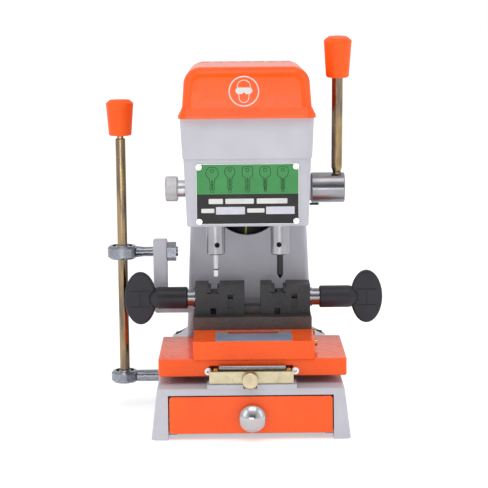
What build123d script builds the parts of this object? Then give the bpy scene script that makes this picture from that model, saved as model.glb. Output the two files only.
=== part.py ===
"""Bench-top key duplicating machine: a vertical cutter and a tracer over a twin key vise on an XY table.

The frame: origin at the centre of the base's footprint on the bench, +X to the operator's right,
+Y away from the operator, +Z up, millimetres. Every moving piece stands at its rest pose.
"""

from build123d import *
import os
from math import acos, atan2, cos, degrees, hypot, pi, radians, sin, tan

os.makedirs("parts", exist_ok=True)

# ---------------------------------------------------------------- driving dimensions

# Base casting and drawer
BASE_HALF_FLOOR = 94.75
BASE_HALF_TOP = 88.8
BASE_DEPTH_FLOOR = 236.0
BASE_DEPTH_TOP = 226.8
BASE_TOP = 48.4
PAD_TOP = 52.0
PAD_X = 1.2
PAD_HALF = 42.4
DRAWER_HALF = 77.2
DRAWER_LOW = 6.4
DRAWER_HIGH = 41.0
DRAWER_BACK = 96.0

# Column, head and belt cover
COLUMN_FRONT = 26.0
COLUMN_BACK = 106.0
COLUMN_FOOT_TOP = 66.0
COLUMN_TOP = 193.8
COLUMN_HALF_LOW = 64.3
COLUMN_HALF_TOP = 58.7
FLANGE_TOP = 56.0
FLANGE_HALF = 82.0
BOLT_SEAT = 54.0
BOLT_PLACES = [(x, y) for x in (-73.5, 73.5) for y in (34, 98)]
CASTING_WALL = 6.0
OPENING_RADIUS = 36.3
OPENING_Z = 211.3
HEAD_X = -1.0
HEAD_FRONT = -47.0
HEAD_STEP_Z = 260.0
HEAD_TOP = 299.0
HEAD_WALL = 5.0
DECK = 8.0
COVER_TOP = 349.5
COVER_WALL = 1.8
COVER_ROUND = 10.0
COVER_FRONT = -49.3
COVER_HALF_LOW = 62.8
COVER_HALF_RIM = 66.4
RIM_FRONT = -53.4
RIM_BACK = 108.5

# Spindles, feed and drive
SPINDLE_GAP = 64.0
SPINDLE_Y = -13.3
CUTTER_X = HEAD_X - SPINDLE_GAP / 2
TRACER_X = HEAD_X + SPINDLE_GAP / 2
NOSE_RADIUS = 9.3
NOSE_BOTTOM = 162.0
CUTTER_TIP = 139.3
TRACER_TIP = 137.0
CARRIER_LOW = 212.0
CARRIER_HIGH = 268.0
GUIDE_ROD_RADIUS = 4.5
GUIDE_ROD_Y = -22.0
FEED_Y = 9.0
FEED_Z = 225.0
GEAR_MODULE = 1.0
PINION_TEETH = 14
FEED_LEAN = 8.0
MOTOR_Y = 67.8
MOTOR_RADIUS = 32.0
BELT_Z = 313.0
MOTOR_PITCH_RADIUS = 14.0
SPINDLE_PITCH_RADIUS = 11.0
BELT_RADIUS = 2.5

# XY table, its guide shafts and the vise
LOWER_X = 2.0
LOWER_HALF = 90.0
LOWER_FRONT = -95.0
TABLE_BACK = 12.0
LOWER_LOW = 56.3
LOWER_TOP = 73.2
UPPER_X = 3.5
UPPER_HALF = 58.0
UPPER_FRONT = -97.4
UPPER_LIP = 71.6
TABLE_SIDE = UPPER_X + UPPER_HALF
UPPER_TOP = 90.6
SHAFT_RADIUS = 3.5
Y_SHAFT_Z = 61.8
Y_SHAFT_OFFSET = 41.4
X_SHAFT_Z = 80.2
X_SHAFT_Y = (-56.0, -4.0)
SHAFT_LEFT = UPPER_X - 55.0
VISE_PLATE_TOP = 103.2
VISE_PLATE_LEFT = -55.6
VISE_PLATE_RIGHT = 61.1
VISE_FRONT = -27.6
VISE_BACK = 0.3
VISE_TOP = 132.7
JAW_SEAM_Z = 125.3
CLAMP_Y = -13.65
CLAMP_Z = 118.0
BLOCK_WIDTH = 49.0
BLOCK_LEFT = (-53.8, 11.2)
SLOT_CENTRE = (-35.2, 28.3)
SLOT_WIDTH = (6.2, 8.6)
LOCK_X = -0.5
LOCK_Y = -110.0
LOCK_Z = 56.9
LOCK_KNOB_RADIUS = 7.7

# Left lever with its two rod ends
LEVER_X = -127.8
LEVER_Y = 16.0
LEVER_RADIUS = 5.0
LOWER_JOINT_Z = 32.0
UPPER_JOINT_Z = 160.4
ARM_LEFT = -96.6
ARM_RIGHT = -82.4

FIT = 0.05  # running fit, radial


# ---------------------------------------------------------------- small shape helpers


def block(x, y, z, mode=Mode.ADD):
    """A box between two values on each axis."""
    with Locations(((x[0] + x[1]) / 2, (y[0] + y[1]) / 2, (z[0] + z[1]) / 2)):
        Box(x[1] - x[0], y[1] - y[0], z[1] - z[0], mode=mode)


def rod(start, end, radius, mode=Mode.ADD):
    """A round bar from one point to another."""
    axis = Vector(*end) - Vector(*start)
    with Locations(Plane(origin=start, z_dir=axis)):
        Cylinder(radius, axis.length, align=(Align.CENTER, Align.CENTER, Align.MIN), mode=mode)


def cone(start, end, start_radius, end_radius, mode=Mode.ADD):
    """A tapered round bar from one point to another."""
    axis = Vector(*end) - Vector(*start)
    with Locations(Plane(origin=start, z_dir=axis)):
        Cone(start_radius, end_radius, axis.length, align=(Align.CENTER, Align.CENTER, Align.MIN), mode=mode)


def hexagon_bar(start, end, across_flats, mode=Mode.ADD):
    """A hexagonal bar from one point to another."""
    axis = Vector(*end) - Vector(*start)
    with BuildSketch(Plane(origin=start, z_dir=axis)) as profile:
        RegularPolygon(across_flats / 2, 6, major_radius=False)
    extrude(profile.sketch, amount=axis.length, mode=mode)


def front_plane(y):
    """A plane that faces the operator, with its own x along +X and its y along +Z."""
    return Plane(origin=(0, y, 0), x_dir=(1, 0, 0), z_dir=(0, -1, 0))


def screw(x, y, z, out, head_radius, head_height, shank_radius, shank_length):
    """A pan-head screw with a driver slot: its head's underside is at the point, its head points out."""
    place = Vector(x, y, z)
    way = Vector(*out)
    rod(tuple(place), tuple(place + way * head_height), head_radius)
    rod(tuple(place), tuple(place - way * shank_length), shank_radius)
    side = Vector(0, 0, 1) if abs(way.Z) < 0.5 else Vector(0, 1, 0)
    with Locations(Plane(origin=tuple(place + way * head_height), x_dir=tuple(side), z_dir=tuple(way))):
        Box(head_radius * 1.7, head_radius * 0.26, head_height * 0.8, mode=Mode.SUBTRACT)


# ---------------------------------------------------------------- base and drawer

with BuildPart() as base_casting:
    with BuildSketch(Plane.XY):
        RectangleRounded(2 * BASE_HALF_FLOOR, BASE_DEPTH_FLOOR, 6)
    with BuildSketch(Plane.XY.offset(BASE_TOP)):
        RectangleRounded(2 * BASE_HALF_TOP, BASE_DEPTH_TOP, 6)
    loft(ruled=True)
    fillet(base_casting.faces().sort_by(Axis.Z)[-1].edges(), 1.8)
    # slide pad, flush with the front wall, and the Y guide block on it
    block((PAD_X - PAD_HALF, PAD_X + PAD_HALF), (-113.2, -20), (BASE_TOP - 2, PAD_TOP))
    block((PAD_X - 51, PAD_X + 51), (-60, -24), (PAD_TOP - 1, 67.4))
    block((PAD_X - 30, PAD_X + 30), (-62, -22), (56, 70), mode=Mode.SUBTRACT)
    for side in (-1, 1):
        rod(
            (PAD_X + side * Y_SHAFT_OFFSET, -70, Y_SHAFT_Z),
            (PAD_X + side * Y_SHAFT_OFFSET, -10, Y_SHAFT_Z),
            SHAFT_RADIUS + FIT,
            mode=Mode.SUBTRACT,
        )
    # room for the lock knob in the pad's front edge
    knob_room = (LOCK_X - LOCK_KNOB_RADIUS + 1, LOCK_X + LOCK_KNOB_RADIUS - 1)
    block(knob_room, (LOCK_Y - 4, LOCK_Y), (BASE_TOP, PAD_TOP + 1), mode=Mode.SUBTRACT)
    # spot-faced boss for the lower rod end
    rod((-80, LEVER_Y, LOWER_JOINT_Z), (-93.0, LEVER_Y, LOWER_JOINT_Z), 8.5)
    # drawer bay, open to the front and below
    block((-78.4, 78.4), (-130, 104), (-1, 42.2), mode=Mode.SUBTRACT)
    for side in (-1, 1):
        block(tuple(sorted((side * 70.5, side * 79.5))), (-104, 100), (1.6, 4.6))
    rod((-96, LEVER_Y, LOWER_JOINT_Z), (-77, LEVER_Y, LOWER_JOINT_Z), 5.0, mode=Mode.SUBTRACT)
    for x, y in BOLT_PLACES:
        rod((x, y, BASE_TOP - 10), (x, y, BASE_TOP + 10), 3.0, mode=Mode.SUBTRACT)
base_casting.part.label = "base_casting"
export_step(base_casting.part, "parts/base_casting.step")

with BuildPart() as drawer_front:
    with BuildSketch(front_plane(-112.6)):
        with Locations((0, (DRAWER_LOW + DRAWER_HIGH) / 2)):
            RectangleRounded(2 * DRAWER_HALF, DRAWER_HIGH - DRAWER_LOW, 2.4)
    extrude(amount=8)
    # the outer face leans with the base's front wall
    lean = degrees(atan2((BASE_DEPTH_FLOOR - BASE_DEPTH_TOP) / 2, BASE_TOP))
    with Locations(Location((0, -118.3, 0), (-lean, 0, 0))):
        Box(200, 20, 120, align=(Align.CENTER, Align.MAX, Align.CENTER), mode=Mode.SUBTRACT)
    rod((1.3, -126, 22.0), (1.3, -106, 22.0), 2.55, mode=Mode.SUBTRACT)
drawer_front.part.label = "drawer_front"
export_step(drawer_front.part, "parts/drawer_front.step")

with BuildPart() as drawer_tray:
    block((-69.5, 69.5), (-112.6, DRAWER_BACK), (4.8, 36))
    block((-75.0, 75.0), (-112.6, DRAWER_BACK), (4.8, 6.0))
    block((-68.3, 68.3), (-111.4, DRAWER_BACK - 1.2), (6.0, 40), mode=Mode.SUBTRACT)
    rod((1.3, -114, 22.0), (1.3, -110, 22.0), 2.55, mode=Mode.SUBTRACT)
drawer_tray.part.label = "drawer_tray"
export_step(drawer_tray.part, "parts/drawer_tray.step")

with BuildPart() as drawer_knob:
    with BuildSketch(Plane.YZ.offset(1.3)):
        with BuildLine():
            face = Line((-117.0, 22.0), (-117.0, 28.0))
            flare = ThreePointArc(face @ 1, (-120.4, 29.6), (-122.4, 33.8))
            back_edge = Line(flare @ 1, (-123.4, 34.9))
            rim = Line(back_edge @ 1, (-124.8, 34.9))
            dome = RadiusArc(rim @ 1, (-131.6, 22.0), -(12.9**2 + 6.8**2) / (2 * 6.8))
            Line(dome @ 1, face @ 0)
        make_face()
    revolve(axis=Axis((1.3, 0, 22.0), (0, 1, 0)))
    rod((1.3, -118, 22.0), (1.3, -108.6, 22.0), 2.5)
drawer_knob.part.label = "drawer_knob"
export_step(drawer_knob.part, "parts/drawer_knob.step")

# ---------------------------------------------------------------- column, head and covers

with BuildPart() as column_casting:
    with BuildSketch(front_plane(COLUMN_FRONT)):
        Polygon(
            (-COLUMN_HALF_LOW, COLUMN_FOOT_TOP - 0.5),
            (COLUMN_HALF_LOW, COLUMN_FOOT_TOP - 0.5),
            (COLUMN_HALF_TOP, COLUMN_TOP),
            (-COLUMN_HALF_TOP, COLUMN_TOP),
            align=None,
        )
    extrude(amount=COLUMN_FRONT - COLUMN_BACK)
    front_edges = column_casting.faces().sort_by(Axis.Y)[0].edges()
    fillet(front_edges.filter_by(Axis.X, reverse=True), 5)
    # sloped foot and the flange it stands on
    with BuildSketch(Plane.XY.offset(COLUMN_FOOT_TOP - 0.5)):
        with Locations((0, (COLUMN_FRONT + COLUMN_BACK) / 2)):
            RectangleRounded(2 * COLUMN_HALF_LOW + 0.8, COLUMN_BACK - COLUMN_FRONT + 0.8, 5)
    with BuildSketch(Plane.XY.offset(FLANGE_TOP)):
        with Locations((0, 66)):
            RectangleRounded(2 * FLANGE_HALF, 92, 8)
    loft(ruled=True)
    with BuildSketch(Plane.XY.offset(BASE_TOP)):
        with Locations((0, 66)):
            RectangleRounded(2 * FLANGE_HALF, 92, 8)
    extrude(amount=FLANGE_TOP - BASE_TOP)
    # hollow, open to the back and up into the head
    inside_depth = (COLUMN_FRONT + CASTING_WALL, COLUMN_BACK - CASTING_WALL)
    block((-51.5, 51.5), inside_depth, (BASE_TOP + 8, COLUMN_TOP + 1), mode=Mode.SUBTRACT)
    block((-46, 46), (95, 125), (80, COLUMN_TOP - 10), mode=Mode.SUBTRACT)
    # round window in the front wall, closed above by the head
    rod((HEAD_X, 20, OPENING_Z), (HEAD_X, 40, OPENING_Z), OPENING_RADIUS, mode=Mode.SUBTRACT)
    for x, y in BOLT_PLACES:
        rod((x, y, BASE_TOP - 1), (x, y, BOLT_SEAT), 3.3, mode=Mode.SUBTRACT)
        rod((x, y, BOLT_SEAT), (x, y, BOLT_SEAT + 30), 6.0, mode=Mode.SUBTRACT)
column_casting.part.label = "column_casting"
export_step(column_casting.part, "parts/column_casting.step")

with BuildPart() as column_bolts:
    for x, y in BOLT_PLACES:
        rod((x, y, BOLT_SEAT), (x, y, BOLT_SEAT + 6), 5.0)
        rod((x, y, BOLT_SEAT), (x, y, 42.6), 2.95)
        hexagon_bar((x, y, BOLT_SEAT + 3), (x, y, BOLT_SEAT + 7), 5.0, mode=Mode.SUBTRACT)
column_bolts.part.label = "column_bolts"
export_step(column_bolts.part, "parts/column_bolts.step")

HEAD_HALF_LOW = 59.2
HEAD_HALF_STEP = 61.9
HEAD_HALF_UPPER = 62.9
HEAD_HALF_TOP = 64.8

with BuildPart() as head_casting:
    with BuildSketch(front_plane(HEAD_FRONT)):
        with Locations((HEAD_X, 0)):
            Polygon(
                (-HEAD_HALF_LOW, COLUMN_TOP),
                (HEAD_HALF_LOW, COLUMN_TOP),
                (HEAD_HALF_STEP, HEAD_STEP_Z),
                (-HEAD_HALF_STEP, HEAD_STEP_Z),
                align=None,
            )
    extrude(amount=HEAD_FRONT - COLUMN_BACK)
    lower_corners = head_casting.faces().sort_by(Axis.Y)[0].edges().filter_by(Axis.X, reverse=True)
    fillet(lower_corners, 5)
    fillet(head_casting.faces().sort_by(Axis.Z)[0].edges().sort_by(Axis.Y)[0], 1.2)
    with BuildSketch(front_plane(HEAD_FRONT - 1.2)):
        with Locations((HEAD_X, 0)):
            Polygon(
                (-HEAD_HALF_UPPER, HEAD_STEP_Z),
                (HEAD_HALF_UPPER, HEAD_STEP_Z),
                (HEAD_HALF_TOP, HEAD_TOP),
                (-HEAD_HALF_TOP, HEAD_TOP),
                align=None,
            )
    extrude(amount=HEAD_FRONT - 1.2 - COLUMN_BACK)
    upper_corners = head_casting.faces().sort_by(Axis.Y)[0].edges().filter_by(Axis.X, reverse=True)
    fillet(upper_corners, 6)
    # hollow below the deck, open at the back and down into the column
    head_inside = (HEAD_X - HEAD_HALF_LOW + HEAD_WALL, HEAD_X + HEAD_HALF_LOW - HEAD_WALL)
    head_depth = (HEAD_FRONT + HEAD_WALL, COLUMN_BACK - CASTING_WALL)
    block(head_inside, head_depth, (COLUMN_TOP + 4.2, HEAD_TOP - DECK), mode=Mode.SUBTRACT)
    block((-51.5, 51.5), inside_depth, (COLUMN_TOP - 1, COLUMN_TOP + 10), mode=Mode.SUBTRACT)
    block((-46, 46), (95, 125), (COLUMN_TOP + 10, HEAD_TOP - DECK - 6), mode=Mode.SUBTRACT)
    # bosses for the feed shaft, bored right through on its axis
    rod((HEAD_X - 50, FEED_Y, FEED_Z), (-62.6, FEED_Y, FEED_Z), 12)
    rod((HEAD_X + 50, FEED_Y, FEED_Z), (62.6, FEED_Y, FEED_Z), 13)
    rod((-70, FEED_Y, FEED_Z), (70, FEED_Y, FEED_Z), 5 + FIT, mode=Mode.SUBTRACT)
    # spindle holes in the floor
    for x in (CUTTER_X, TRACER_X):
        rod((x, SPINDLE_Y, 190), (x, SPINDLE_Y, 200), NOSE_RADIUS + 0.9, mode=Mode.SUBTRACT)
    # guide rod seats in floor and deck
    for x in (HEAD_X - 10, HEAD_X + 10):
        rod((x, GUIDE_ROD_Y, 195.5), (x, GUIDE_ROD_Y, 296), GUIDE_ROD_RADIUS, mode=Mode.SUBTRACT)
    # bearing seat for the spindle pulley and the motor boss hole, both in the deck
    rod((CUTTER_X, SPINDLE_Y, 286), (CUTTER_X, SPINDLE_Y, 300), 10.0 + FIT, mode=Mode.SUBTRACT)
    rod((HEAD_X, MOTOR_Y, 286), (HEAD_X, MOTOR_Y, 300), 9.0, mode=Mode.SUBTRACT)
head_casting.part.label = "head_casting"
export_step(head_casting.part, "parts/head_casting.step")


def cover_shape(inset, mode):
    """The belt cover's outside, or its inside when every wall is moved in by the inset."""
    half_low = COVER_HALF_LOW - inset
    half_high = 61.0 - inset
    corner = 17.0 - inset * 0.5
    top = COVER_TOP - inset
    front = COVER_FRONT + inset
    back = COLUMN_BACK + 1 - inset
    with BuildSketch(front_plane(front)) as silhouette:
        with BuildLine():
            left = Line((HEAD_X - half_low, 308), (HEAD_X - half_high, top - corner))
            turn = JernArc(left @ 1, left % 1, corner, -88)
            right = Line((HEAD_X + half_low, 308), (HEAD_X + half_high, top - corner))
            turn_back = JernArc(right @ 1, right % 1, corner, 88)
            Line(turn @ 1, turn_back @ 1)
            Line(left @ 0, right @ 0)
        make_face()
    extrude(silhouette.sketch, amount=front - back, mode=mode)
    front_edges = faces().sort_by(Axis.Y)[0].edges().filter_by(lambda e: e.center().Z > 309)
    fillet(front_edges, COVER_ROUND - inset)


def rim_sketch(half, front, back, corner):
    """A rounded rectangle for one level of the cover's flared rim."""
    with Locations((HEAD_X, (front + back) / 2)):
        RectangleRounded(2 * half, back - front, corner)


with BuildPart() as cover_core:
    cover_shape(COVER_WALL, Mode.ADD)

with BuildPart() as belt_cover:
    cover_shape(0.0, Mode.ADD)
    with BuildSketch(Plane.XY.offset(302)):
        rim_sketch(COVER_HALF_RIM, RIM_FRONT, RIM_BACK, 9)
    with BuildSketch(Plane.XY.offset(309.2)):
        rim_sketch(COVER_HALF_LOW, COVER_FRONT, COLUMN_BACK + 1, 6)
    loft(ruled=True)
    with BuildSketch(Plane.XY.offset(HEAD_TOP)):
        rim_sketch(COVER_HALF_RIM, RIM_FRONT, RIM_BACK, 9)
    extrude(amount=3)
    add(cover_core.part, mode=Mode.SUBTRACT)
    block((HEAD_X - 59.1, HEAD_X + 59.1), (-47.5, COLUMN_BACK - 0.8), (HEAD_TOP - 1, 309), mode=Mode.SUBTRACT)
    # cooling slots across the back of the top
    for y in (78, 88):
        with Locations(*[(HEAD_X + 14.0 * i, y, COVER_TOP) for i in range(-3, 4)]):
            Box(9.5, 4, 12, mode=Mode.SUBTRACT)
belt_cover.part.label = "belt_cover"
export_step(belt_cover.part, "parts/belt_cover.step")

with BuildPart() as rear_cover:
    block((-49, 49), (COLUMN_BACK, COLUMN_BACK + 2), (76, 290))
    fillet(rear_cover.edges().filter_by(Axis.Y), 4)
    for i in range(9):
        block((-26, 26), (100, 110), (200 + 8 * i, 203 + 8 * i), mode=Mode.SUBTRACT)
    # switch cut-out and cable gland hole
    block((17, 39), (100, 110), (92, 120), mode=Mode.SUBTRACT)
    rod((-26, 100, 100), (-26, 112, 100), 8.0, mode=Mode.SUBTRACT)
    for x in (-44.5, 44.5):
        for z in (81, 183, 285):
            rod((x, 100, z), (x, 112, z), 2.1, mode=Mode.SUBTRACT)
rear_cover.part.label = "rear_cover"
export_step(rear_cover.part, "parts/rear_cover.step")

with BuildPart() as rear_cover_screws:
    for x in (-44.5, 44.5):
        for z in (81, 183, 285):
            screw(x, COLUMN_BACK + 2, z, (0, 1, 0), 3.6, 2.2, 1.9, 1.9)
rear_cover_screws.part.label = "rear_cover_screws"
export_step(rear_cover_screws.part, "parts/rear_cover_screws.step")

PLATE_LOW = 196.4
PLATE_HIGH = 255.0
PLATE_HALF = 49.7
PLATE_THICK = 0.9

with BuildPart() as data_plate:
    with BuildSketch(front_plane(HEAD_FRONT)):
        with Locations((HEAD_X, (PLATE_LOW + PLATE_HIGH) / 2)):
            RectangleRounded(2 * PLATE_HALF, PLATE_HIGH - PLATE_LOW, 1.5)
            with GridLocations(94.2, 53.2, 2, 2):
                Circle(1.6, mode=Mode.SUBTRACT)
    extrude(amount=PLATE_THICK)
data_plate.part.label = "data_plate"
export_step(data_plate.part, "parts/data_plate.step")

with BuildPart() as data_plate_screws:
    for x in (-47.1, 47.1):
        for z in (-26.6, 26.6):
            seat = (HEAD_X + x, HEAD_FRONT - PLATE_THICK, (PLATE_LOW + PLATE_HIGH) / 2 + z)
            screw(*seat, (0, -1, 0), 2.9, 1.5, 1.5, PLATE_THICK)
data_plate_screws.part.label = "data_plate_screws"
export_step(data_plate_screws.part, "parts/data_plate_screws.step")

# ---------------------------------------------------------------- motor and belt drive

with BuildPart() as motor_body:
    rod((HEAD_X, MOTOR_Y, 158), (HEAD_X, MOTOR_Y, HEAD_TOP - DECK), MOTOR_RADIUS - 2)
    rod((HEAD_X, MOTOR_Y, 172), (HEAD_X, MOTOR_Y, 274), MOTOR_RADIUS)
    rod((HEAD_X, MOTOR_Y, 150), (HEAD_X, MOTOR_Y, 300), 4 + FIT, mode=Mode.SUBTRACT)
    for i in range(18):
        angle = radians(20 * i)
        foot = (HEAD_X + (MOTOR_RADIUS + 0.4) * cos(angle), MOTOR_Y + (MOTOR_RADIUS + 0.4) * sin(angle))
        rod((*foot, 180), (*foot, 266), 1.4, mode=Mode.SUBTRACT)
motor_body.part.label = "motor_body"
export_step(motor_body.part, "parts/motor_body.step")

with BuildPart() as motor_shaft:
    rod((HEAD_X, MOTOR_Y, 152), (HEAD_X, MOTOR_Y, 326), 4)
    chamfer(motor_shaft.edges().filter_by(GeomType.CIRCLE), 0.6)
motor_shaft.part.label = "motor_shaft"
export_step(motor_shaft.part, "parts/motor_shaft.step")


def pulley(x, y, pitch_radius, low, high):
    """A grooved wheel for the round belt, from low to high."""
    rod((x, y, low), (x, y, high), pitch_radius + 3.2)
    with Locations((x, y, BELT_Z)):
        Torus(pitch_radius, BELT_RADIUS + 0.3, mode=Mode.SUBTRACT)
    with BuildPart(mode=Mode.PRIVATE) as rim:
        rod((x, y, BELT_Z - BELT_RADIUS - 0.3), (x, y, BELT_Z + BELT_RADIUS + 0.3), pitch_radius + 4)
        rod((x, y, BELT_Z - 9), (x, y, BELT_Z + 9), pitch_radius, mode=Mode.SUBTRACT)
    add(rim.part, mode=Mode.SUBTRACT)


with BuildPart() as motor_pulley:
    pulley(HEAD_X, MOTOR_Y, MOTOR_PITCH_RADIUS, 306, 320)
    rod((HEAD_X, MOTOR_Y, 302), (HEAD_X, MOTOR_Y, 306), 8)
    rod((HEAD_X, MOTOR_Y, 300), (HEAD_X, MOTOR_Y, 330), 4, mode=Mode.SUBTRACT)
motor_pulley.part.label = "motor_pulley"
export_step(motor_pulley.part, "parts/motor_pulley.step")

with BuildPart() as spindle_pulley:
    pulley(CUTTER_X, SPINDLE_Y, SPINDLE_PITCH_RADIUS, 304, 322)
    rod((CUTTER_X, SPINDLE_Y, 287), (CUTTER_X, SPINDLE_Y, 304), 10.0)
    hexagon_bar((CUTTER_X, SPINDLE_Y, 280), (CUTTER_X, SPINDLE_Y, 330), 9.3, mode=Mode.SUBTRACT)
spindle_pulley.part.label = "spindle_pulley"
export_step(spindle_pulley.part, "parts/spindle_pulley.step")

# The open belt: two arcs on the pulleys' pitch circles and the two straight runs between them.
belt_dx = CUTTER_X - HEAD_X
belt_dy = SPINDLE_Y - MOTOR_Y
belt_reach = hypot(belt_dx, belt_dy)
belt_way = atan2(belt_dy, belt_dx)
belt_open = acos((MOTOR_PITCH_RADIUS - SPINDLE_PITCH_RADIUS) / belt_reach)


def on_pitch(x, y, radius, angle):
    return (x + radius * cos(angle), y + radius * sin(angle))


with BuildPart() as drive_belt:
    with BuildLine(Plane.XY.offset(BELT_Z)) as belt_path:
        near_a = on_pitch(HEAD_X, MOTOR_Y, MOTOR_PITCH_RADIUS, belt_way + belt_open)
        near_b = on_pitch(HEAD_X, MOTOR_Y, MOTOR_PITCH_RADIUS, belt_way - belt_open)
        far_a = on_pitch(CUTTER_X, SPINDLE_Y, SPINDLE_PITCH_RADIUS, belt_way + belt_open)
        far_b = on_pitch(CUTTER_X, SPINDLE_Y, SPINDLE_PITCH_RADIUS, belt_way - belt_open)
        run_a = Line(near_a, far_a)
        ThreePointArc(far_a, on_pitch(CUTTER_X, SPINDLE_Y, SPINDLE_PITCH_RADIUS, belt_way), far_b)
        Line(far_b, near_b)
        ThreePointArc(near_b, on_pitch(HEAD_X, MOTOR_Y, MOTOR_PITCH_RADIUS, belt_way + pi), near_a)
    with BuildSketch(Plane(origin=run_a @ 0, z_dir=run_a % 0)):
        Circle(BELT_RADIUS)
    sweep()
drive_belt.part.label = "drive_belt"
export_step(drive_belt.part, "parts/drive_belt.step")

# ---------------------------------------------------------------- spindle carrier and tools

with BuildPart() as spindle_carrier:
    with BuildSketch(Plane.XY.offset(CARRIER_LOW)):
        with Locations((CUTTER_X, SPINDLE_Y), (TRACER_X, SPINDLE_Y)):
            Circle(15)
        with Locations((HEAD_X, -18.5)):
            Rectangle(2 * 22, 29)
    extrude(amount=CARRIER_HIGH - CARRIER_LOW)
    # rack down the middle of the back, in mesh with the feed pinion at rest
    rack_line = FEED_Y - GEAR_MODULE * PINION_TEETH / 2
    tooth_pitch = pi * GEAR_MODULE
    with BuildSketch(Plane.YZ.offset(HEAD_X - 7)):
        rack_root = rack_line - 1.25
        with Locations(((rack_root - 6) / 2, (CARRIER_LOW + 244) / 2)):
            Rectangle(rack_root + 6, 244 - CARRIER_LOW)
        for i in range(-3, 5):
            middle = FEED_Z + tooth_pitch * (i + 0.5)
            with BuildLine():
                Polyline(
                    (rack_line - 1.5, middle - 1.10),
                    (rack_line - 1.25, middle - 1.10),
                    (rack_line + 0.7, middle - 0.40),
                    (rack_line + 0.7, middle + 0.40),
                    (rack_line - 1.25, middle + 1.10),
                    (rack_line - 1.5, middle + 1.10),
                    close=True,
                )
            make_face()
    extrude(amount=14)
    # bearing bores for the cutter spindle, and the tracer sleeve's bore
    rod((CUTTER_X, SPINDLE_Y, 200), (CUTTER_X, SPINDLE_Y, 280), 8.0, mode=Mode.SUBTRACT)
    rod((CUTTER_X, SPINDLE_Y, 200), (CUTTER_X, SPINDLE_Y, CARRIER_LOW + 9), 13.0, mode=Mode.SUBTRACT)
    rod((CUTTER_X, SPINDLE_Y, CARRIER_HIGH - 9), (CUTTER_X, SPINDLE_Y, 280), 13.0, mode=Mode.SUBTRACT)
    rod((TRACER_X, SPINDLE_Y, 200), (TRACER_X, SPINDLE_Y, 280), 8.0, mode=Mode.SUBTRACT)
    # guide rod bores, counterbored from below for the springs
    for x in (HEAD_X - 10, HEAD_X + 10):
        rod((x, GUIDE_ROD_Y, 200), (x, GUIDE_ROD_Y, 280), GUIDE_ROD_RADIUS + FIT, mode=Mode.SUBTRACT)
        rod((x, GUIDE_ROD_Y, 200), (x, GUIDE_ROD_Y, CARRIER_LOW + 20), 7.6, mode=Mode.SUBTRACT)
spindle_carrier.part.label = "spindle_carrier"
export_step(spindle_carrier.part, "parts/spindle_carrier.step")

with BuildPart() as carrier_guide_rods:
    for x in (HEAD_X - 10, HEAD_X + 10):
        rod((x, GUIDE_ROD_Y, 195.5), (x, GUIDE_ROD_Y, 296), GUIDE_ROD_RADIUS)
carrier_guide_rods.part.label = "carrier_guide_rods"
export_step(carrier_guide_rods.part, "parts/carrier_guide_rods.step")

SPRING_LOW = 198.8
SPRING_HIGH = CARRIER_LOW + 19.2
SPRING_TURNS = 7

with BuildPart() as carrier_springs:
    for x in (HEAD_X - 10, HEAD_X + 10):
        coil = Helix(
            pitch=(SPRING_HIGH - SPRING_LOW) / SPRING_TURNS,
            height=SPRING_HIGH - SPRING_LOW,
            radius=6.1,
            center=(x, GUIDE_ROD_Y, SPRING_LOW),
            mode=Mode.PRIVATE,
        )
        with BuildSketch(Plane(origin=coil @ 0, z_dir=coil % 0)) as wire:
            Circle(0.6)
        sweep(wire.sketch, path=coil, is_frenet=True)
carrier_springs.part.label = "carrier_springs"
export_step(carrier_springs.part, "parts/carrier_springs.step")

with BuildPart() as cutter_spindle:
    rod((CUTTER_X, SPINDLE_Y, NOSE_BOTTOM), (CUTTER_X, SPINDLE_Y, 203.5), NOSE_RADIUS)
    chamfer(cutter_spindle.faces().sort_by(Axis.Z)[0].edges(), 0.8)
    rod((CUTTER_X, SPINDLE_Y, 203.5), (CUTTER_X, SPINDLE_Y, 211.4), 7.0)
    rod((CUTTER_X, SPINDLE_Y, 211.4), (CUTTER_X, SPINDLE_Y, 274), 5.0)
    hexagon_bar((CUTTER_X, SPINDLE_Y, 274), (CUTTER_X, SPINDLE_Y, 336), 9.0)
    rod((CUTTER_X, SPINDLE_Y, 160), (CUTTER_X, SPINDLE_Y, 186), 3.0, mode=Mode.SUBTRACT)
    rod((CUTTER_X + 2.2, SPINDLE_Y - 12, 172), (CUTTER_X, SPINDLE_Y, 172), 2.6, mode=Mode.SUBTRACT)
cutter_spindle.part.label = "cutter_spindle"
export_step(cutter_spindle.part, "parts/cutter_spindle.step")

with BuildPart() as spindle_bearings:
    for low in (CARRIER_LOW, CARRIER_HIGH - 9):
        rod((CUTTER_X, SPINDLE_Y, low), (CUTTER_X, SPINDLE_Y, low + 9), 13.0)
        rod((CUTTER_X, SPINDLE_Y, low - 1), (CUTTER_X, SPINDLE_Y, low + 10), 5.0 + FIT, mode=Mode.SUBTRACT)
        for face in (low, low + 9):
            with Locations((CUTTER_X, SPINDLE_Y, face)):
                Torus(9.0, 1.2, mode=Mode.SUBTRACT)
spindle_bearings.part.label = "spindle_bearings"
export_step(spindle_bearings.part, "parts/spindle_bearings.step")

with BuildPart() as cutter:
    rod((CUTTER_X, SPINDLE_Y, 147.4), (CUTTER_X, SPINDLE_Y, 185), 3.0)
    cone((CUTTER_X, SPINDLE_Y, 147.4), (CUTTER_X, SPINDLE_Y, 146.0), 3.0, 2.1)
    rod((CUTTER_X, SPINDLE_Y, 146.0), (CUTTER_X, SPINDLE_Y, CUTTER_TIP), 2.1)
    # the cutting end is ground to a half round
    block(
        (CUTTER_X - 4, CUTTER_X + 4),
        (SPINDLE_Y - 4, SPINDLE_Y - 0.3),
        (CUTTER_TIP - 1, 145.6),
        mode=Mode.SUBTRACT,
    )
cutter.part.label = "cutter"
export_step(cutter.part, "parts/cutter.step")

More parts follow.
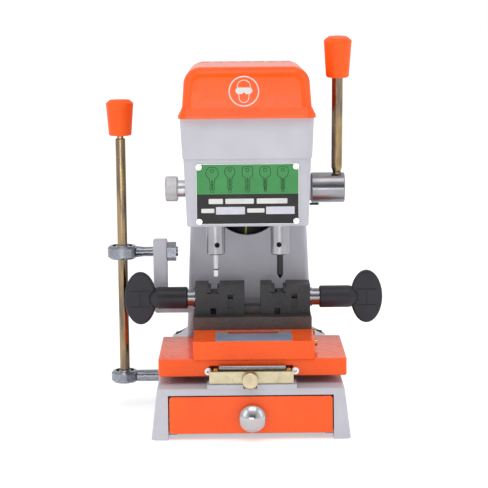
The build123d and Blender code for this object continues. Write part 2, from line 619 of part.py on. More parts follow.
with BuildPart() as tracer_sleeve:
    rod((TRACER_X, SPINDLE_Y, NOSE_BOTTOM - 0.6), (TRACER_X, SPINDLE_Y, 204), NOSE_RADIUS)
    chamfer(tracer_sleeve.faces().sort_by(Axis.Z)[0].edges(), 0.8)
    rod((TRACER_X, SPINDLE_Y, 204), (TRACER_X, SPINDLE_Y, 272), 8.0)
    rod((TRACER_X, SPINDLE_Y, 160), (TRACER_X, SPINDLE_Y, 196), 3.1, mode=Mode.SUBTRACT)
    rod((TRACER_X - 1.6, SPINDLE_Y - 12, 172), (TRACER_X, SPINDLE_Y, 172), 2.6, mode=Mode.SUBTRACT)
tracer_sleeve.part.label = "tracer_sleeve"
export_step(tracer_sleeve.part, "parts/tracer_sleeve.step")

with BuildPart() as tracer_pin:
    rod((TRACER_X, SPINDLE_Y, 140.8), (TRACER_X, SPINDLE_Y, 195), 3.1)
    cone((TRACER_X, SPINDLE_Y, 140.8), (TRACER_X, SPINDLE_Y, TRACER_TIP), 3.1, 0.6)
tracer_pin.part.label = "tracer_pin"
export_step(tracer_pin.part, "parts/tracer_pin.step")

# ---------------------------------------------------------------- feed lever and Z lock


def involute_point(base_radius, radius, half_width_angle, side):
    """A point on a tooth's flank, at a distance from the gear's centre."""
    roll = tan(acos(base_radius / radius)) - acos(base_radius / radius)
    angle = side * (half_width_angle - roll)
    return (radius * cos(angle), radius * sin(angle))


pinion_pitch = GEAR_MODULE * PINION_TEETH / 2
pinion_base = pinion_pitch * cos(radians(20))
pinion_tip = pinion_pitch + 0.95
pinion_root = pinion_pitch - 1.3
pitch_roll = tan(radians(20)) - radians(20)
tooth_half_angle = (pi / 2 * GEAR_MODULE - 0.2) / 2 / pinion_pitch + pitch_roll

with BuildPart() as feed_pinion_shaft:
    rod((-58, FEED_Y, FEED_Z), (92, FEED_Y, FEED_Z), 5)
    with BuildSketch(Plane(origin=(HEAD_X - 5.5, FEED_Y, FEED_Z), x_dir=(0, 1, 0), z_dir=(1, 0, 0))):
        Circle(pinion_root)
        with BuildLine():
            flank_radii = [pinion_base + (pinion_tip - pinion_base) * i / 4 for i in range(5)]
            right_flank = [involute_point(pinion_base, r, tooth_half_angle, 1) for r in flank_radii]
            left_flank = [involute_point(pinion_base, r, tooth_half_angle, -1) for r in flank_radii]
            Spline(*right_flank)
            Spline(*left_flank)
            Line(right_flank[-1], left_flank[-1])
            root_right = (right_flank[0][0] * 0.8, right_flank[0][1] * 0.8)
            root_left = (left_flank[0][0] * 0.8, left_flank[0][1] * 0.8)
            Polyline(right_flank[0], root_right, root_left, left_flank[0])
        tooth = make_face(mode=Mode.PRIVATE)
        with PolarLocations(0, PINION_TEETH):
            add(tooth)
    extrude(amount=11)
feed_pinion_shaft.part.label = "feed_pinion_shaft"
export_step(feed_pinion_shaft.part, "parts/feed_pinion_shaft.step")

lean_up = (0, -sin(radians(FEED_LEAN)), cos(radians(FEED_LEAN)))
LEVER_LINE_X = 88.6


def along_lever(distance):
    """A point on the feed lever's line, at a distance from the feed shaft's axis."""
    return (LEVER_LINE_X, FEED_Y + lean_up[1] * distance, FEED_Z + lean_up[2] * distance)


with BuildPart() as feed_hub:
    rod((63.0, FEED_Y, FEED_Z), (96.4, FEED_Y, FEED_Z), 15.2)
    chamfer(feed_hub.edges().filter_by(GeomType.CIRCLE), 1.0)
    rod((62, FEED_Y, FEED_Z), (92, FEED_Y, FEED_Z), 5, mode=Mode.SUBTRACT)
    rod(along_lever(7.5), along_lever(20), 4.0, mode=Mode.SUBTRACT)
feed_hub.part.label = "feed_hub"
export_step(feed_hub.part, "parts/feed_hub.step")

with BuildPart() as feed_lever_rod:
    rod(along_lever(8), along_lever(16), 3.95)
    cone(along_lever(16), along_lever(21), 3.95, 5.4)
    rod(along_lever(21), along_lever(111.5), 5.4)
    rod(along_lever(111.5), along_lever(134), 3.3)
feed_lever_rod.part.label = "feed_lever_rod"
export_step(feed_lever_rod.part, "parts/feed_lever_rod.step")


def tapered_knob(origin, way, height):
    """A turned taper knob that stands on a plane: narrow foot, wide shoulder, chamfered flat top."""
    across = Vector(1, 0, 0)
    plane = Plane(origin=origin, x_dir=tuple(across), z_dir=tuple(across.cross(Vector(*way))))
    with BuildSketch(plane) as half:
        with BuildLine():
            foot = Line((0, 0), (10.6, 0))
            heel = Line(foot @ 1, (11.3, 0.8))
            side = Line(heel @ 1, (13.6, height - 6.0))
            shoulder = Spline(side @ 1, (13.75, height - 4.6), (13.2, height - 3.3))
            crown = Line(shoulder @ 1, (9.8, height - 0.5))
            cap = Line(crown @ 1, (0, height))
            Line(cap @ 1, foot @ 0)
        make_face()
    revolve(half.sketch, axis=Axis(origin, way))


with BuildPart() as feed_lever_knob:
    tapered_knob(along_lever(112.5), lean_up, 39.5)
    rod(along_lever(110), along_lever(135), 3.35, mode=Mode.SUBTRACT)
feed_lever_knob.part.label = "feed_lever_knob"
export_step(feed_lever_knob.part, "parts/feed_lever_knob.step")

with BuildPart() as z_lock_knob:
    rod((-63.0, FEED_Y, FEED_Z), (-70.4, FEED_Y, FEED_Z), 8.7)
    rod((-70.4, FEED_Y, FEED_Z), (-83.2, FEED_Y, FEED_Z), 12.7)
    chamfer(z_lock_knob.edges().filter_by(GeomType.CIRCLE).filter_by(lambda e: e.radius > 12), 1.3)
    rod((-58.4, FEED_Y, FEED_Z), (-63.0, FEED_Y, FEED_Z), 5.0)
z_lock_knob.part.label = "z_lock_knob"
export_step(z_lock_knob.part, "parts/z_lock_knob.step")

# ---------------------------------------------------------------- XY table

with BuildPart() as lower_table:
    lower_width = (LOWER_X - LOWER_HALF, LOWER_X + LOWER_HALF)
    block(lower_width, (LOWER_FRONT, TABLE_BACK), (LOWER_LOW, LOWER_TOP))
    fillet(lower_table.edges().filter_by(Axis.Z), 2.5)
    chamfer(lower_table.faces().filter_by(Axis.Z).edges(), 0.7)
    # open below; the front stays solid behind the notch
    block((-78, 82), (-78, 5), (50, 67.9), mode=Mode.SUBTRACT)
    block((-39.4, 40.8), (-96, -85), (50, 66.8), mode=Mode.SUBTRACT)
    block((-5, 4), (-86, -77), (50, 60.6), mode=Mode.SUBTRACT)
    for side in (-1, 1):
        x = PAD_X + side * Y_SHAFT_OFFSET
        rod((x, -97, Y_SHAFT_Z), (x, 9, Y_SHAFT_Z), SHAFT_RADIUS, mode=Mode.SUBTRACT)
    # cast block for the X guide shafts, inside the upper table
    block((UPPER_X - 30, UPPER_X + 30), (-63, 1.4), (LOWER_TOP - 1, 85.2))
    block((UPPER_X - 18, UPPER_X + 18), (-48, -12), (LOWER_TOP + 2, 86), mode=Mode.SUBTRACT)
    for y in X_SHAFT_Y:
        rod((-40, y, X_SHAFT_Z), (40, y, X_SHAFT_Z), SHAFT_RADIUS + FIT, mode=Mode.SUBTRACT)
lower_table.part.label = "lower_table"
export_step(lower_table.part, "parts/lower_table.step")

with BuildPart() as y_guide_shafts:
    for side in (-1, 1):
        x = PAD_X + side * Y_SHAFT_OFFSET
        rod((x, -98.2, Y_SHAFT_Z), (x, 9, Y_SHAFT_Z), SHAFT_RADIUS)
        rod((x, -99, Y_SHAFT_Z), (x, -95, Y_SHAFT_Z), 1.6, mode=Mode.SUBTRACT)
y_guide_shafts.part.label = "y_guide_shafts"
export_step(y_guide_shafts.part, "parts/y_guide_shafts.step")

with BuildPart() as lock_plate:
    block((-39.2, 40.6), (LOCK_Y, LOCK_Y + 2.6), (52.4, 63.9))
    chamfer(lock_plate.edges().filter_by(Axis.Y), 0.8)
    block((-35.5, 37.5), (-107.4, -85), (61.2, 63.6))
    block((-30, 32), (-87.6, -85), (63.6, 66.0))
    rod((LOCK_X, LOCK_Y - 2, LOCK_Z), (LOCK_X, LOCK_Y + 4, LOCK_Z), 3.0 + FIT, mode=Mode.SUBTRACT)
lock_plate.part.label = "lock_plate"
export_step(lock_plate.part, "parts/lock_plate.step")

with BuildPart() as lock_rod:
    rod((-30.2, -101, 65.9), (33.6, -101, 65.9), 2.3)
    chamfer(lock_rod.edges().filter_by(GeomType.CIRCLE), 0.4)
lock_rod.part.label = "lock_rod"
export_step(lock_rod.part, "parts/lock_rod.step")

with BuildPart() as lock_screw:
    rod((LOCK_X, LOCK_Y - 10, LOCK_Z), (LOCK_X, LOCK_Y - 0.3, LOCK_Z), LOCK_KNOB_RADIUS)
    chamfer(lock_screw.edges().filter_by(GeomType.CIRCLE), 0.7)
    rod((LOCK_X, LOCK_Y - 2, LOCK_Z), (LOCK_X, -61.5, LOCK_Z), 3.0)
lock_screw.part.label = "lock_screw"
export_step(lock_screw.part, "parts/lock_screw.step")

with BuildPart() as upper_table:
    block((UPPER_X - UPPER_HALF, TABLE_SIDE), (UPPER_FRONT, 10), (UPPER_LIP, UPPER_TOP))
    fillet(upper_table.edges().filter_by(Axis.Y).group_by(Axis.Z)[0], 3.0)
    fillet(upper_table.edges().filter_by(Axis.Z), 2.0)
    # only a front lip hangs below the lower table's top
    block((UPPER_X - 60, UPPER_X + 60), (LOWER_FRONT - 0.5, 11), (70, LOWER_TOP + 0.2), mode=Mode.SUBTRACT)
    block((UPPER_X - 50, UPPER_X + 50), (-80, 3), (70, 85.6), mode=Mode.SUBTRACT)
    for y in X_SHAFT_Y:
        rod((SHAFT_LEFT, y, X_SHAFT_Z), (TABLE_SIDE + 1, y, X_SHAFT_Z), SHAFT_RADIUS, mode=Mode.SUBTRACT)
upper_table.part.label = "upper_table"
export_step(upper_table.part, "parts/upper_table.step")

with BuildPart() as x_guide_shafts:
    for y in X_SHAFT_Y:
        rod((SHAFT_LEFT, y, X_SHAFT_Z), (TABLE_SIDE - 1.6, y, X_SHAFT_Z), SHAFT_RADIUS)
        rod((TABLE_SIDE - 6.6, y, X_SHAFT_Z), (TABLE_SIDE, y, X_SHAFT_Z), 1.5, mode=Mode.SUBTRACT)
x_guide_shafts.part.label = "x_guide_shafts"
export_step(x_guide_shafts.part, "parts/x_guide_shafts.step")

with BuildPart() as shaft_end_screws:
    for y in X_SHAFT_Y:
        rod((TABLE_SIDE + 0.1, y, X_SHAFT_Z), (TABLE_SIDE + 1.2, y, X_SHAFT_Z), 5.0)
        screw(TABLE_SIDE + 1.2, y, X_SHAFT_Z, (1, 0, 0), 3.4, 3.0, 1.5, 7.0)
shaft_end_screws.part.label = "shaft_end_screws"
export_step(shaft_end_screws.part, "parts/shaft_end_screws.step")

# ---------------------------------------------------------------- vise

with BuildPart() as vise_base_plate:
    block((VISE_PLATE_LEFT, VISE_PLATE_RIGHT), (-42.3, TABLE_BACK), (UPPER_TOP, VISE_PLATE_TOP))
    chamfer(vise_base_plate.edges().filter_by(Axis.Y), 0.6)
    # raised rail that shows between the two vise blocks
    block((BLOCK_LEFT[0] + BLOCK_WIDTH, BLOCK_LEFT[1]), (-21.5, -5.5), (VISE_PLATE_TOP, 110.0))
vise_base_plate.part.label = "vise_base_plate"
export_step(vise_base_plate.part, "parts/vise_base_plate.step")

STEP_Z = 129.9
TONGUE_Y = (-20.0, -7.3)
TONGUE_ROOM = (15.3, 16.3)
TONGUE_START = (0.0, 1.0)
SCREW_RADIUS = 4.0


def key_slot(i, z_low, z_high):
    """The narrow key slot of one vise, over a stretch of height."""
    low = SLOT_CENTRE[i] - 3.0
    block((low, low + SLOT_WIDTH[i]), (VISE_FRONT - 1, VISE_BACK + 1), (z_low, z_high), mode=Mode.SUBTRACT)


BLOCK_DEPTH = (VISE_FRONT, VISE_BACK)
CUT_DEPTH = (VISE_FRONT - 1, VISE_BACK + 1)

with BuildPart() as vise_bodies:
    for left in BLOCK_LEFT:
        block((left, left + BLOCK_WIDTH), BLOCK_DEPTH, (VISE_PLATE_TOP, VISE_TOP))
    for i, left in enumerate(BLOCK_LEFT):
        slot_low = SLOT_CENTRE[i] - 3.0
        slot_high = slot_low + SLOT_WIDTH[i]
        # room for the moving jaw, then the slot and its wide step
        block((left - 1, slot_low + 0.1), CUT_DEPTH, (JAW_SEAM_Z - 0.15, VISE_TOP + 1), mode=Mode.SUBTRACT)
        key_slot(i, JAW_SEAM_Z - 0.15, VISE_TOP + 1)
        block((slot_low, slot_high + 2.6), CUT_DEPTH, (STEP_Z, VISE_TOP + 1), mode=Mode.SUBTRACT)
        # undercut at the slot's floor
        undercut = (slot_low - 4.1, slot_high + 2.2)
        block(undercut, CUT_DEPTH, (JAW_SEAM_Z - 1.0, JAW_SEAM_Z), mode=Mode.SUBTRACT)
        # channel for the jaw's tongue
        tongue_room = (TONGUE_Y[0] - 0.2, TONGUE_Y[1] + 0.2)
        block((left - 1, left + TONGUE_ROOM[i]), tongue_room, (110.4, JAW_SEAM_Z), mode=Mode.SUBTRACT)
        # clamp screw bore
        bore_start = (left - 2, CLAMP_Y, CLAMP_Z)
        bore_end = (left + BLOCK_WIDTH + 2, CLAMP_Y, CLAMP_Z)
        rod(bore_start, bore_end, SCREW_RADIUS + FIT, mode=Mode.SUBTRACT)
        # cross slot at the foot, and the stop pocket in the front face
        foot = SLOT_CENTRE[i] - 3.5
        block((foot, foot + 5.6), CUT_DEPTH, (VISE_PLATE_TOP - 1, 109.6), mode=Mode.SUBTRACT)
        pocket = (SLOT_CENTRE[i] + 13.6, SLOT_CENTRE[i] + 19.0)
        block(pocket, (VISE_FRONT - 1, VISE_FRONT + 7), (118.6, 123.4), mode=Mode.SUBTRACT)
        block(pocket, (VISE_FRONT - 1, VISE_FRONT + 1.6), (109.6, 118.6), mode=Mode.SUBTRACT)
vise_bodies.part.label = "vise_bodies"
export_step(vise_bodies.part, "parts/vise_bodies.step")


def build_jaw(i):
    """The moving jaw of one vise: a top plate with a tongue that the clamp screw works."""
    left = BLOCK_LEFT[i]
    slot_low = SLOT_CENTRE[i] - 3.0
    block((left, slot_low), BLOCK_DEPTH, (JAW_SEAM_Z, VISE_TOP))
    block((slot_low - 2.6, slot_low + 1), CUT_DEPTH, (STEP_Z, VISE_TOP + 1), mode=Mode.SUBTRACT)
    tongue_left = left + TONGUE_START[i]
    block((tongue_left, tongue_left + 11.0), TONGUE_Y, (110.8, JAW_SEAM_Z))
    rod((left - 5, CLAMP_Y, CLAMP_Z), (left + 20, CLAMP_Y, CLAMP_Z), SCREW_RADIUS + FIT, mode=Mode.SUBTRACT)


with BuildPart() as jaw_left:
    build_jaw(0)
jaw_left.part.label = "jaw_left"
export_step(jaw_left.part, "parts/jaw_left.step")

with BuildPart() as jaw_right:
    build_jaw(1)
jaw_right.part.label = "jaw_right"
export_step(jaw_right.part, "parts/jaw_right.step")

VISE_LEFT_END = BLOCK_LEFT[0]
VISE_RIGHT_END = BLOCK_LEFT[1] + BLOCK_WIDTH

KNOB_ROOT = (VISE_LEFT_END - 7.6, VISE_RIGHT_END + 9.6)
KNOB_BORE = 18.4
WING_REACH = 47.2
WING_HALF_THICK = 4.2


def clamp_screw(vise_end, inner_end, root_x, side):
    """A clamp screw with its collar and sleeve, from inside the vise out into the knob."""
    rod((vise_end + side * 0.1, CLAMP_Y, CLAMP_Z), (vise_end + side * 2.2, CLAMP_Y, CLAMP_Z), 9.4)
    rod((vise_end + side * 2.2, CLAMP_Y, CLAMP_Z), (root_x, CLAMP_Y, CLAMP_Z), 8.4)
    rod((inner_end, CLAMP_Y, CLAMP_Z), (root_x + side * KNOB_BORE, CLAMP_Y, CLAMP_Z), SCREW_RADIUS)


with BuildPart() as clamp_screw_left:
    clamp_screw(VISE_LEFT_END, VISE_LEFT_END + 42, KNOB_ROOT[0], -1)
clamp_screw_left.part.label = "clamp_screw_left"
export_step(clamp_screw_left.part, "parts/clamp_screw_left.step")

with BuildPart() as clamp_screw_right:
    clamp_screw(VISE_RIGHT_END, BLOCK_LEFT[1] + 3, KNOB_ROOT[1], 1)
clamp_screw_right.part.label = "clamp_screw_right"
export_step(clamp_screw_right.part, "parts/clamp_screw_right.step")


def clamp_knob(root_x, side):
    """A bullet-shaped barrel that ends in a flat oval wing, pointing away from the vise."""
    barrel_radius = 11.0
    barrel_length = 27.0
    dome_length = 13.0
    dome_tip = barrel_length + dome_length
    wing_x = root_x + side * WING_REACH
    root = (root_x, CLAMP_Y, CLAMP_Z)
    with BuildSketch(Plane(origin=root, x_dir=(side, 0, 0), z_dir=(0, 1, 0))) as outline:
        with BuildLine():
            base = Line((0, 0), (0, barrel_radius - 1.2))
            heel = Line(base @ 1, (1.2, barrel_radius))
            flat = Line(heel @ 1, (barrel_length, barrel_radius))
            on_dome = (barrel_length + dome_length * sin(pi / 4), barrel_radius * cos(pi / 4))
            ThreePointArc(flat @ 1, on_dome, (dome_tip, 0))
            Line((dome_tip, 0), base @ 0)
        make_face()
    revolve(outline.sketch, axis=Axis(root, (side, 0, 0)))
    with BuildSketch(front_plane(CLAMP_Y - WING_HALF_THICK)) as wing:
        with Locations((wing_x, CLAMP_Z)):
            Ellipse(15.8, 26.4)
    extrude(wing.sketch, amount=-2 * WING_HALF_THICK)
    fillet(faces().filter_by(Axis.Y).edges().filter_by(lambda e: e.length > 60), 2.4)
    # grip grooves in both faces of the wing
    for face_y in (CLAMP_Y - WING_HALF_THICK, CLAMP_Y + WING_HALF_THICK):
        depth = (face_y - 0.7, face_y + 0.7)
        for z in (CLAMP_Z - 8, CLAMP_Z + 8):
            block((wing_x - 9.5, wing_x + 9.5), depth, (z - 0.6, z + 0.6), mode=Mode.SUBTRACT)
        block((wing_x - 0.6, wing_x + 0.6), depth, (CLAMP_Z - 8, CLAMP_Z + 8), mode=Mode.SUBTRACT)
    bore_end = (root_x + side * KNOB_BORE, CLAMP_Y, CLAMP_Z)
    rod((root_x - side, CLAMP_Y, CLAMP_Z), bore_end, SCREW_RADIUS, mode=Mode.SUBTRACT)


with BuildPart() as clamp_knob_left:
    clamp_knob(KNOB_ROOT[0], -1)
clamp_knob_left.part.label = "clamp_knob_left"
export_step(clamp_knob_left.part, "parts/clamp_knob_left.step")

with BuildPart() as clamp_knob_right:
    clamp_knob(KNOB_ROOT[1], 1)
clamp_knob_right.part.label = "clamp_knob_right"
export_step(clamp_knob_right.part, "parts/clamp_knob_right.step")

# ---------------------------------------------------------------- left lever, rod ends and bracket

with BuildPart() as rod_end_bracket:
    block((ARM_LEFT, ARM_RIGHT), (9.5, 22.5), (99.6, 173))
    fillet(rod_end_bracket.edges().filter_by(Axis.Y).group_by(Axis.Z)[-1], 1.5)
    block((ARM_LEFT + 2, VISE_PLATE_LEFT - 0.4), (3.0, 14.0), (99.6, 108.6))
    block((VISE_PLATE_LEFT - 0.6, -20), (3.0, TABLE_BACK), (VISE_PLATE_TOP, 108.6))
    fillet(rod_end_bracket.edges().filter_by(Axis.Z).filter_by(lambda e: e.length > 50), 1.5)
    stud_hole = ((ARM_LEFT - 2, LEVER_Y, UPPER_JOINT_Z), (ARM_RIGHT + 2, LEVER_Y, UPPER_JOINT_Z))
    rod(*stud_hole, 5.0, mode=Mode.SUBTRACT)
rod_end_bracket.part.label = "rod_end_bracket"
export_step(rod_end_bracket.part, "parts/rod_end_bracket.step")


def rod_end(joint_z, eye_radius, race_radius, half_height, shoulder_x, neck_radius, stud_end_x):
    """A rod end: an eye with a spherical seat, a neck, and a stud that runs along +X."""
    centre = (LEVER_X, LEVER_Y, joint_z)
    with Locations(centre):
        Cylinder(eye_radius, 2 * half_height)
    chamfer(faces().sort_by(Axis.Z)[-1].edges() + faces().sort_by(Axis.Z)[0].edges(), 2.2)
    neck_start = (LEVER_X + eye_radius + 6, LEVER_Y, joint_z)
    cone((LEVER_X + 8, LEVER_Y, joint_z), neck_start, half_height, neck_radius)
    rod(neck_start, (shoulder_x, LEVER_Y, joint_z), neck_radius)
    rod((shoulder_x, LEVER_Y, joint_z), (stud_end_x, LEVER_Y, joint_z), 4.95)
    with Locations(centre):
        Sphere(race_radius, mode=Mode.SUBTRACT)


with BuildPart() as upper_rod_end:
    rod_end(UPPER_JOINT_Z, 15.2, 12.3, 6.6, ARM_LEFT, 4.95, -71.5)
upper_rod_end.part.label = "upper_rod_end"
export_step(upper_rod_end.part, "parts/upper_rod_end.step")

with BuildPart() as rod_end_nut:
    hexagon_bar((ARM_RIGHT, LEVER_Y, UPPER_JOINT_Z), (-73.4, LEVER_Y, UPPER_JOINT_Z), 17.0)
    rod((ARM_RIGHT - 1, LEVER_Y, UPPER_JOINT_Z), (-70, LEVER_Y, UPPER_JOINT_Z), 5.0, mode=Mode.SUBTRACT)
rod_end_nut.part.label = "rod_end_nut"
export_step(rod_end_nut.part, "parts/rod_end_nut.step")

with BuildPart() as lower_rod_end:
    rod_end(LOWER_JOINT_Z, 13.9, 11.1, 5.8, -93.0, 6.0, -79.5)
lower_rod_end.part.label = "lower_rod_end"
export_step(lower_rod_end.part, "parts/lower_rod_end.step")


def spherical_ring(z, outer, inner, half_height, bore_radius):
    """A ring cut from a sphere, with a spherical or a straight bore."""
    centre = (LEVER_X, LEVER_Y, z)
    with Locations(centre):
        Sphere(outer)
        Box(60, 60, 2 * half_height, mode=Mode.INTERSECT)
        if inner:
            Sphere(inner, mode=Mode.SUBTRACT)
    if bore_radius:
        rod((LEVER_X, LEVER_Y, z - 20), (LEVER_X, LEVER_Y, z + 20), bore_radius, mode=Mode.SUBTRACT)


with BuildPart() as upper_liner:
    spherical_ring(UPPER_JOINT_Z, 12.0, 9.6, 5.2, 0)
upper_liner.part.label = "upper_liner"
export_step(upper_liner.part, "parts/upper_liner.step")

with BuildPart() as upper_ball:
    spherical_ring(UPPER_JOINT_Z, 9.3, 0, 7.2, LEVER_RADIUS + 0.35)
upper_ball.part.label = "upper_ball"
export_step(upper_ball.part, "parts/upper_ball.step")

with BuildPart() as lower_liner:
    spherical_ring(LOWER_JOINT_Z, 10.8, 8.6, 4.6, 0)
lower_liner.part.label = "lower_liner"
export_step(lower_liner.part, "parts/lower_liner.step")

with BuildPart() as lower_ball:
    spherical_ring(LOWER_JOINT_Z, 8.3, 0, 6.4, LEVER_RADIUS)
lower_ball.part.label = "lower_ball"
export_step(lower_ball.part, "parts/lower_ball.step")

with BuildPart() as xy_lever_rod:
    rod((LEVER_X, LEVER_Y, LOWER_JOINT_Z - 6.4), (LEVER_X, LEVER_Y, 275.6), LEVER_RADIUS)
    chamfer(xy_lever_rod.edges().filter_by(GeomType.CIRCLE), 0.8)
    rod((LEVER_X, LEVER_Y, 275), (LEVER_X, LEVER_Y, 300), 3.3)
xy_lever_rod.part.label = "xy_lever_rod"
export_step(xy_lever_rod.part, "parts/xy_lever_rod.step")

with BuildPart() as xy_lever_knob:
    tapered_knob((LEVER_X, LEVER_Y, 278.6), (0, 0, 1), 36.2)
    rod((LEVER_X, LEVER_Y, 270), (LEVER_X, LEVER_Y, 301), 3.35, mode=Mode.SUBTRACT)
xy_lever_knob.part.label = "xy_lever_knob"
export_step(xy_lever_knob.part, "parts/xy_lever_knob.step")

# ---------------------------------------------------------------- electrics on the back

SWITCH_X = 28.0
SWITCH_Z = 106.0

with BuildPart() as power_switch:
    block((SWITCH_X - 12.5, SWITCH_X + 12.5), (108, 110), (SWITCH_Z - 15.5, SWITCH_Z + 15.5))
    fillet(power_switch.edges().filter_by(Axis.Y), 2)
    block((SWITCH_X - 10.8, SWITCH_X + 10.8), (90, 108), (SWITCH_Z - 13.8, SWITCH_Z + 13.8))
    block((SWITCH_X - 9.2, SWITCH_X + 9.2), (98, 112), (SWITCH_Z - 12.2, SWITCH_Z + 12.2), mode=Mode.SUBTRACT)
power_switch.part.label = "power_switch"
export_step(power_switch.part, "parts/power_switch.step")

with BuildPart() as switch_rocker:
    with BuildSketch(Plane.YZ.offset(SWITCH_X - 8.8)):
        with BuildLine():
            back = Line((103.0, SWITCH_Z - 8.6), (103.0, SWITCH_Z + 8.6))
            upper = Line(back @ 1, (111.0, SWITCH_Z + 10.6))
            face = ThreePointArc(upper @ 1, (110.4, SWITCH_Z), (111.0, SWITCH_Z - 10.6))
            Line(face @ 1, back @ 0)
        make_face()
    extrude(amount=17.6)
    rod((SWITCH_X - 8.8, 106, SWITCH_Z), (SWITCH_X + 8.8, 106, SWITCH_Z), 2.0)
switch_rocker.part.label = "switch_rocker"
export_step(switch_rocker.part, "parts/switch_rocker.step")

with BuildPart() as cable_gland:
    rod((-26, 104, 100), (-26, 108, 100), 7.9)
    rod((-26, 108, 100), (-26, 112, 100), 10.5)
    cone((-26, 112, 100), (-26, 122, 100), 8.5, 6.4)
    rod((-26, 100, 100), (-26, 124, 100), 3.8, mode=Mode.SUBTRACT)
cable_gland.part.label = "cable_gland"
export_step(cable_gland.part, "parts/cable_gland.step")

with BuildPart() as earth_wire:
    with BuildLine() as wire_path:
        FilletPolyline(
            (HEAD_X - 1.7, 33.4, 197),
            (HEAD_X - 1.2, 33.4, 184),
            (HEAD_X - 2.6, 33.4, 168),
            (HEAD_X - 1.6, 33.4, 154),
            radius=60,
        )
    with BuildSketch(Plane(origin=wire_path.line @ 0, z_dir=wire_path.line % 0)):
        Circle(1.1)
    sweep()
    # crimped eye on the inside of the column's front wall
    block((HEAD_X - 4.6, HEAD_X + 1.4), (COLUMN_FRONT + CASTING_WALL, 34.4), (148, 156))
earth_wire.part.label = "earth_wire"
export_step(earth_wire.part, "parts/earth_wire.step")
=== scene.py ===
from math import atan2, cos, pi, radians, sin, sqrt

import bmesh
import bpy
from mathutils import Matrix, Vector


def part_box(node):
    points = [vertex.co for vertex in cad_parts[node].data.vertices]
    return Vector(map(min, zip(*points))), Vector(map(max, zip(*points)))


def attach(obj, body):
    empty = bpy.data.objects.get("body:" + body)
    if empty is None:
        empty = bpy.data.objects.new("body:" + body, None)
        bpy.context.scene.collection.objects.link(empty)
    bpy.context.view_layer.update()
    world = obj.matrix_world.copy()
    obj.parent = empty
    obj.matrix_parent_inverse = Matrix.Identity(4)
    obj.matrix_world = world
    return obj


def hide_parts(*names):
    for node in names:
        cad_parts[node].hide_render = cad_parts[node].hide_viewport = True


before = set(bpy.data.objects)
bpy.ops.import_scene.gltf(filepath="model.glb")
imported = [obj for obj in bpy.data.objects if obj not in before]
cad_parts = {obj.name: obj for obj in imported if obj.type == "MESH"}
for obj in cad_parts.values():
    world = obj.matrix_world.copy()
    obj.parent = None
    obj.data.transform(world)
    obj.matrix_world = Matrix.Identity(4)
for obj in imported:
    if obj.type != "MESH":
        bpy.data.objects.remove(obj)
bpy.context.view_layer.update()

MM = 0.001
PRINT_LIFT = 0.15 * MM  # the data plate's printed panels stand this far off the plate
INK = 0.1 * MM  # thickness of the marks that are printed on a panel or a label

# ---------------------------------------------------------------- materials


def new_material(name):
    """A material with one shader; returns it with its node tree and shader."""
    material = bpy.data.materials.new(name)
    material.use_nodes = True
    tree = material.node_tree
    return material, tree, tree.nodes["Principled BSDF"]


def object_space(tree, scale):
    """Object coordinates in metres, stretched by a scale along each axis."""
    coordinates = tree.nodes.new("ShaderNodeTexCoord")
    mapping = tree.nodes.new("ShaderNodeMapping")
    mapping.inputs["Scale"].default_value = scale
    tree.links.new(coordinates.outputs["Object"], mapping.inputs["Vector"])
    return mapping.outputs["Vector"]


def noise(tree, vector, scale, detail=3.0, roughness=0.55):
    """A noise texture's value."""
    node = tree.nodes.new("ShaderNodeTexNoise")
    node.inputs["Scale"].default_value = scale
    node.inputs["Detail"].default_value = detail
    node.inputs["Roughness"].default_value = roughness
    tree.links.new(vector, node.inputs["Vector"])
    return node.outputs["Fac"]


def colour_ramp(tree, factor, stops):
    """Colours along a factor: stops are (position, (r, g, b))."""
    node = tree.nodes.new("ShaderNodeValToRGB")
    ramp = node.color_ramp
    ramp.elements[0].position = stops[0][0]
    ramp.elements[0].color = (*stops[0][1], 1.0)
    ramp.elements[1].position = stops[-1][0]
    ramp.elements[1].color = (*stops[-1][1], 1.0)
    for position, colour in stops[1:-1]:
        ramp.elements.new(position).color = (*colour, 1.0)
    tree.links.new(factor, node.inputs["Fac"])
    return node.outputs["Color"]


def spread(tree, factor, low, high, from_low=0.3, from_high=0.7):
    """A factor mapped to a range of values."""
    node = tree.nodes.new("ShaderNodeMapRange")
    node.inputs["From Min"].default_value = from_low
    node.inputs["From Max"].default_value = from_high
    node.inputs["To Min"].default_value = low
    node.inputs["To Max"].default_value = high
    tree.links.new(factor, node.inputs["Value"])
    return node.outputs["Result"]


def bump(tree, shader, height, strength, distance):
    """Relief on the shader's normal, with its depth in metres."""
    node = tree.nodes.new("ShaderNodeBump")
    node.inputs["Strength"].default_value = strength
    node.inputs["Distance"].default_value = distance
    tree.links.new(height, node.inputs["Height"])
    tree.links.new(node.outputs["Normal"], shader.inputs["Normal"])


def enamel(name, dark, light, roughness, coat, peel_scale, peel_depth):
    """Sprayed enamel: two close tones, patchy gloss and orange-peel."""
    material, tree, shader = new_material(name)
    space = object_space(tree, (1, 1, 1))
    cloud = noise(tree, space, 28, 4)
    tree.links.new(colour_ramp(tree, cloud, [(0.3, dark), (0.7, light)]), shader.inputs["Base Color"])
    gloss = noise(tree, space, 120, 3)
    tree.links.new(spread(tree, gloss, roughness - 0.05, roughness + 0.06), shader.inputs["Roughness"])
    shader.inputs["Specular IOR Level"].default_value = 0.25
    shader.inputs["Coat Weight"].default_value = coat
    shader.inputs["Coat Roughness"].default_value = 0.08
    bump(tree, shader, noise(tree, space, peel_scale, 2), 0.35, peel_depth)
    return material


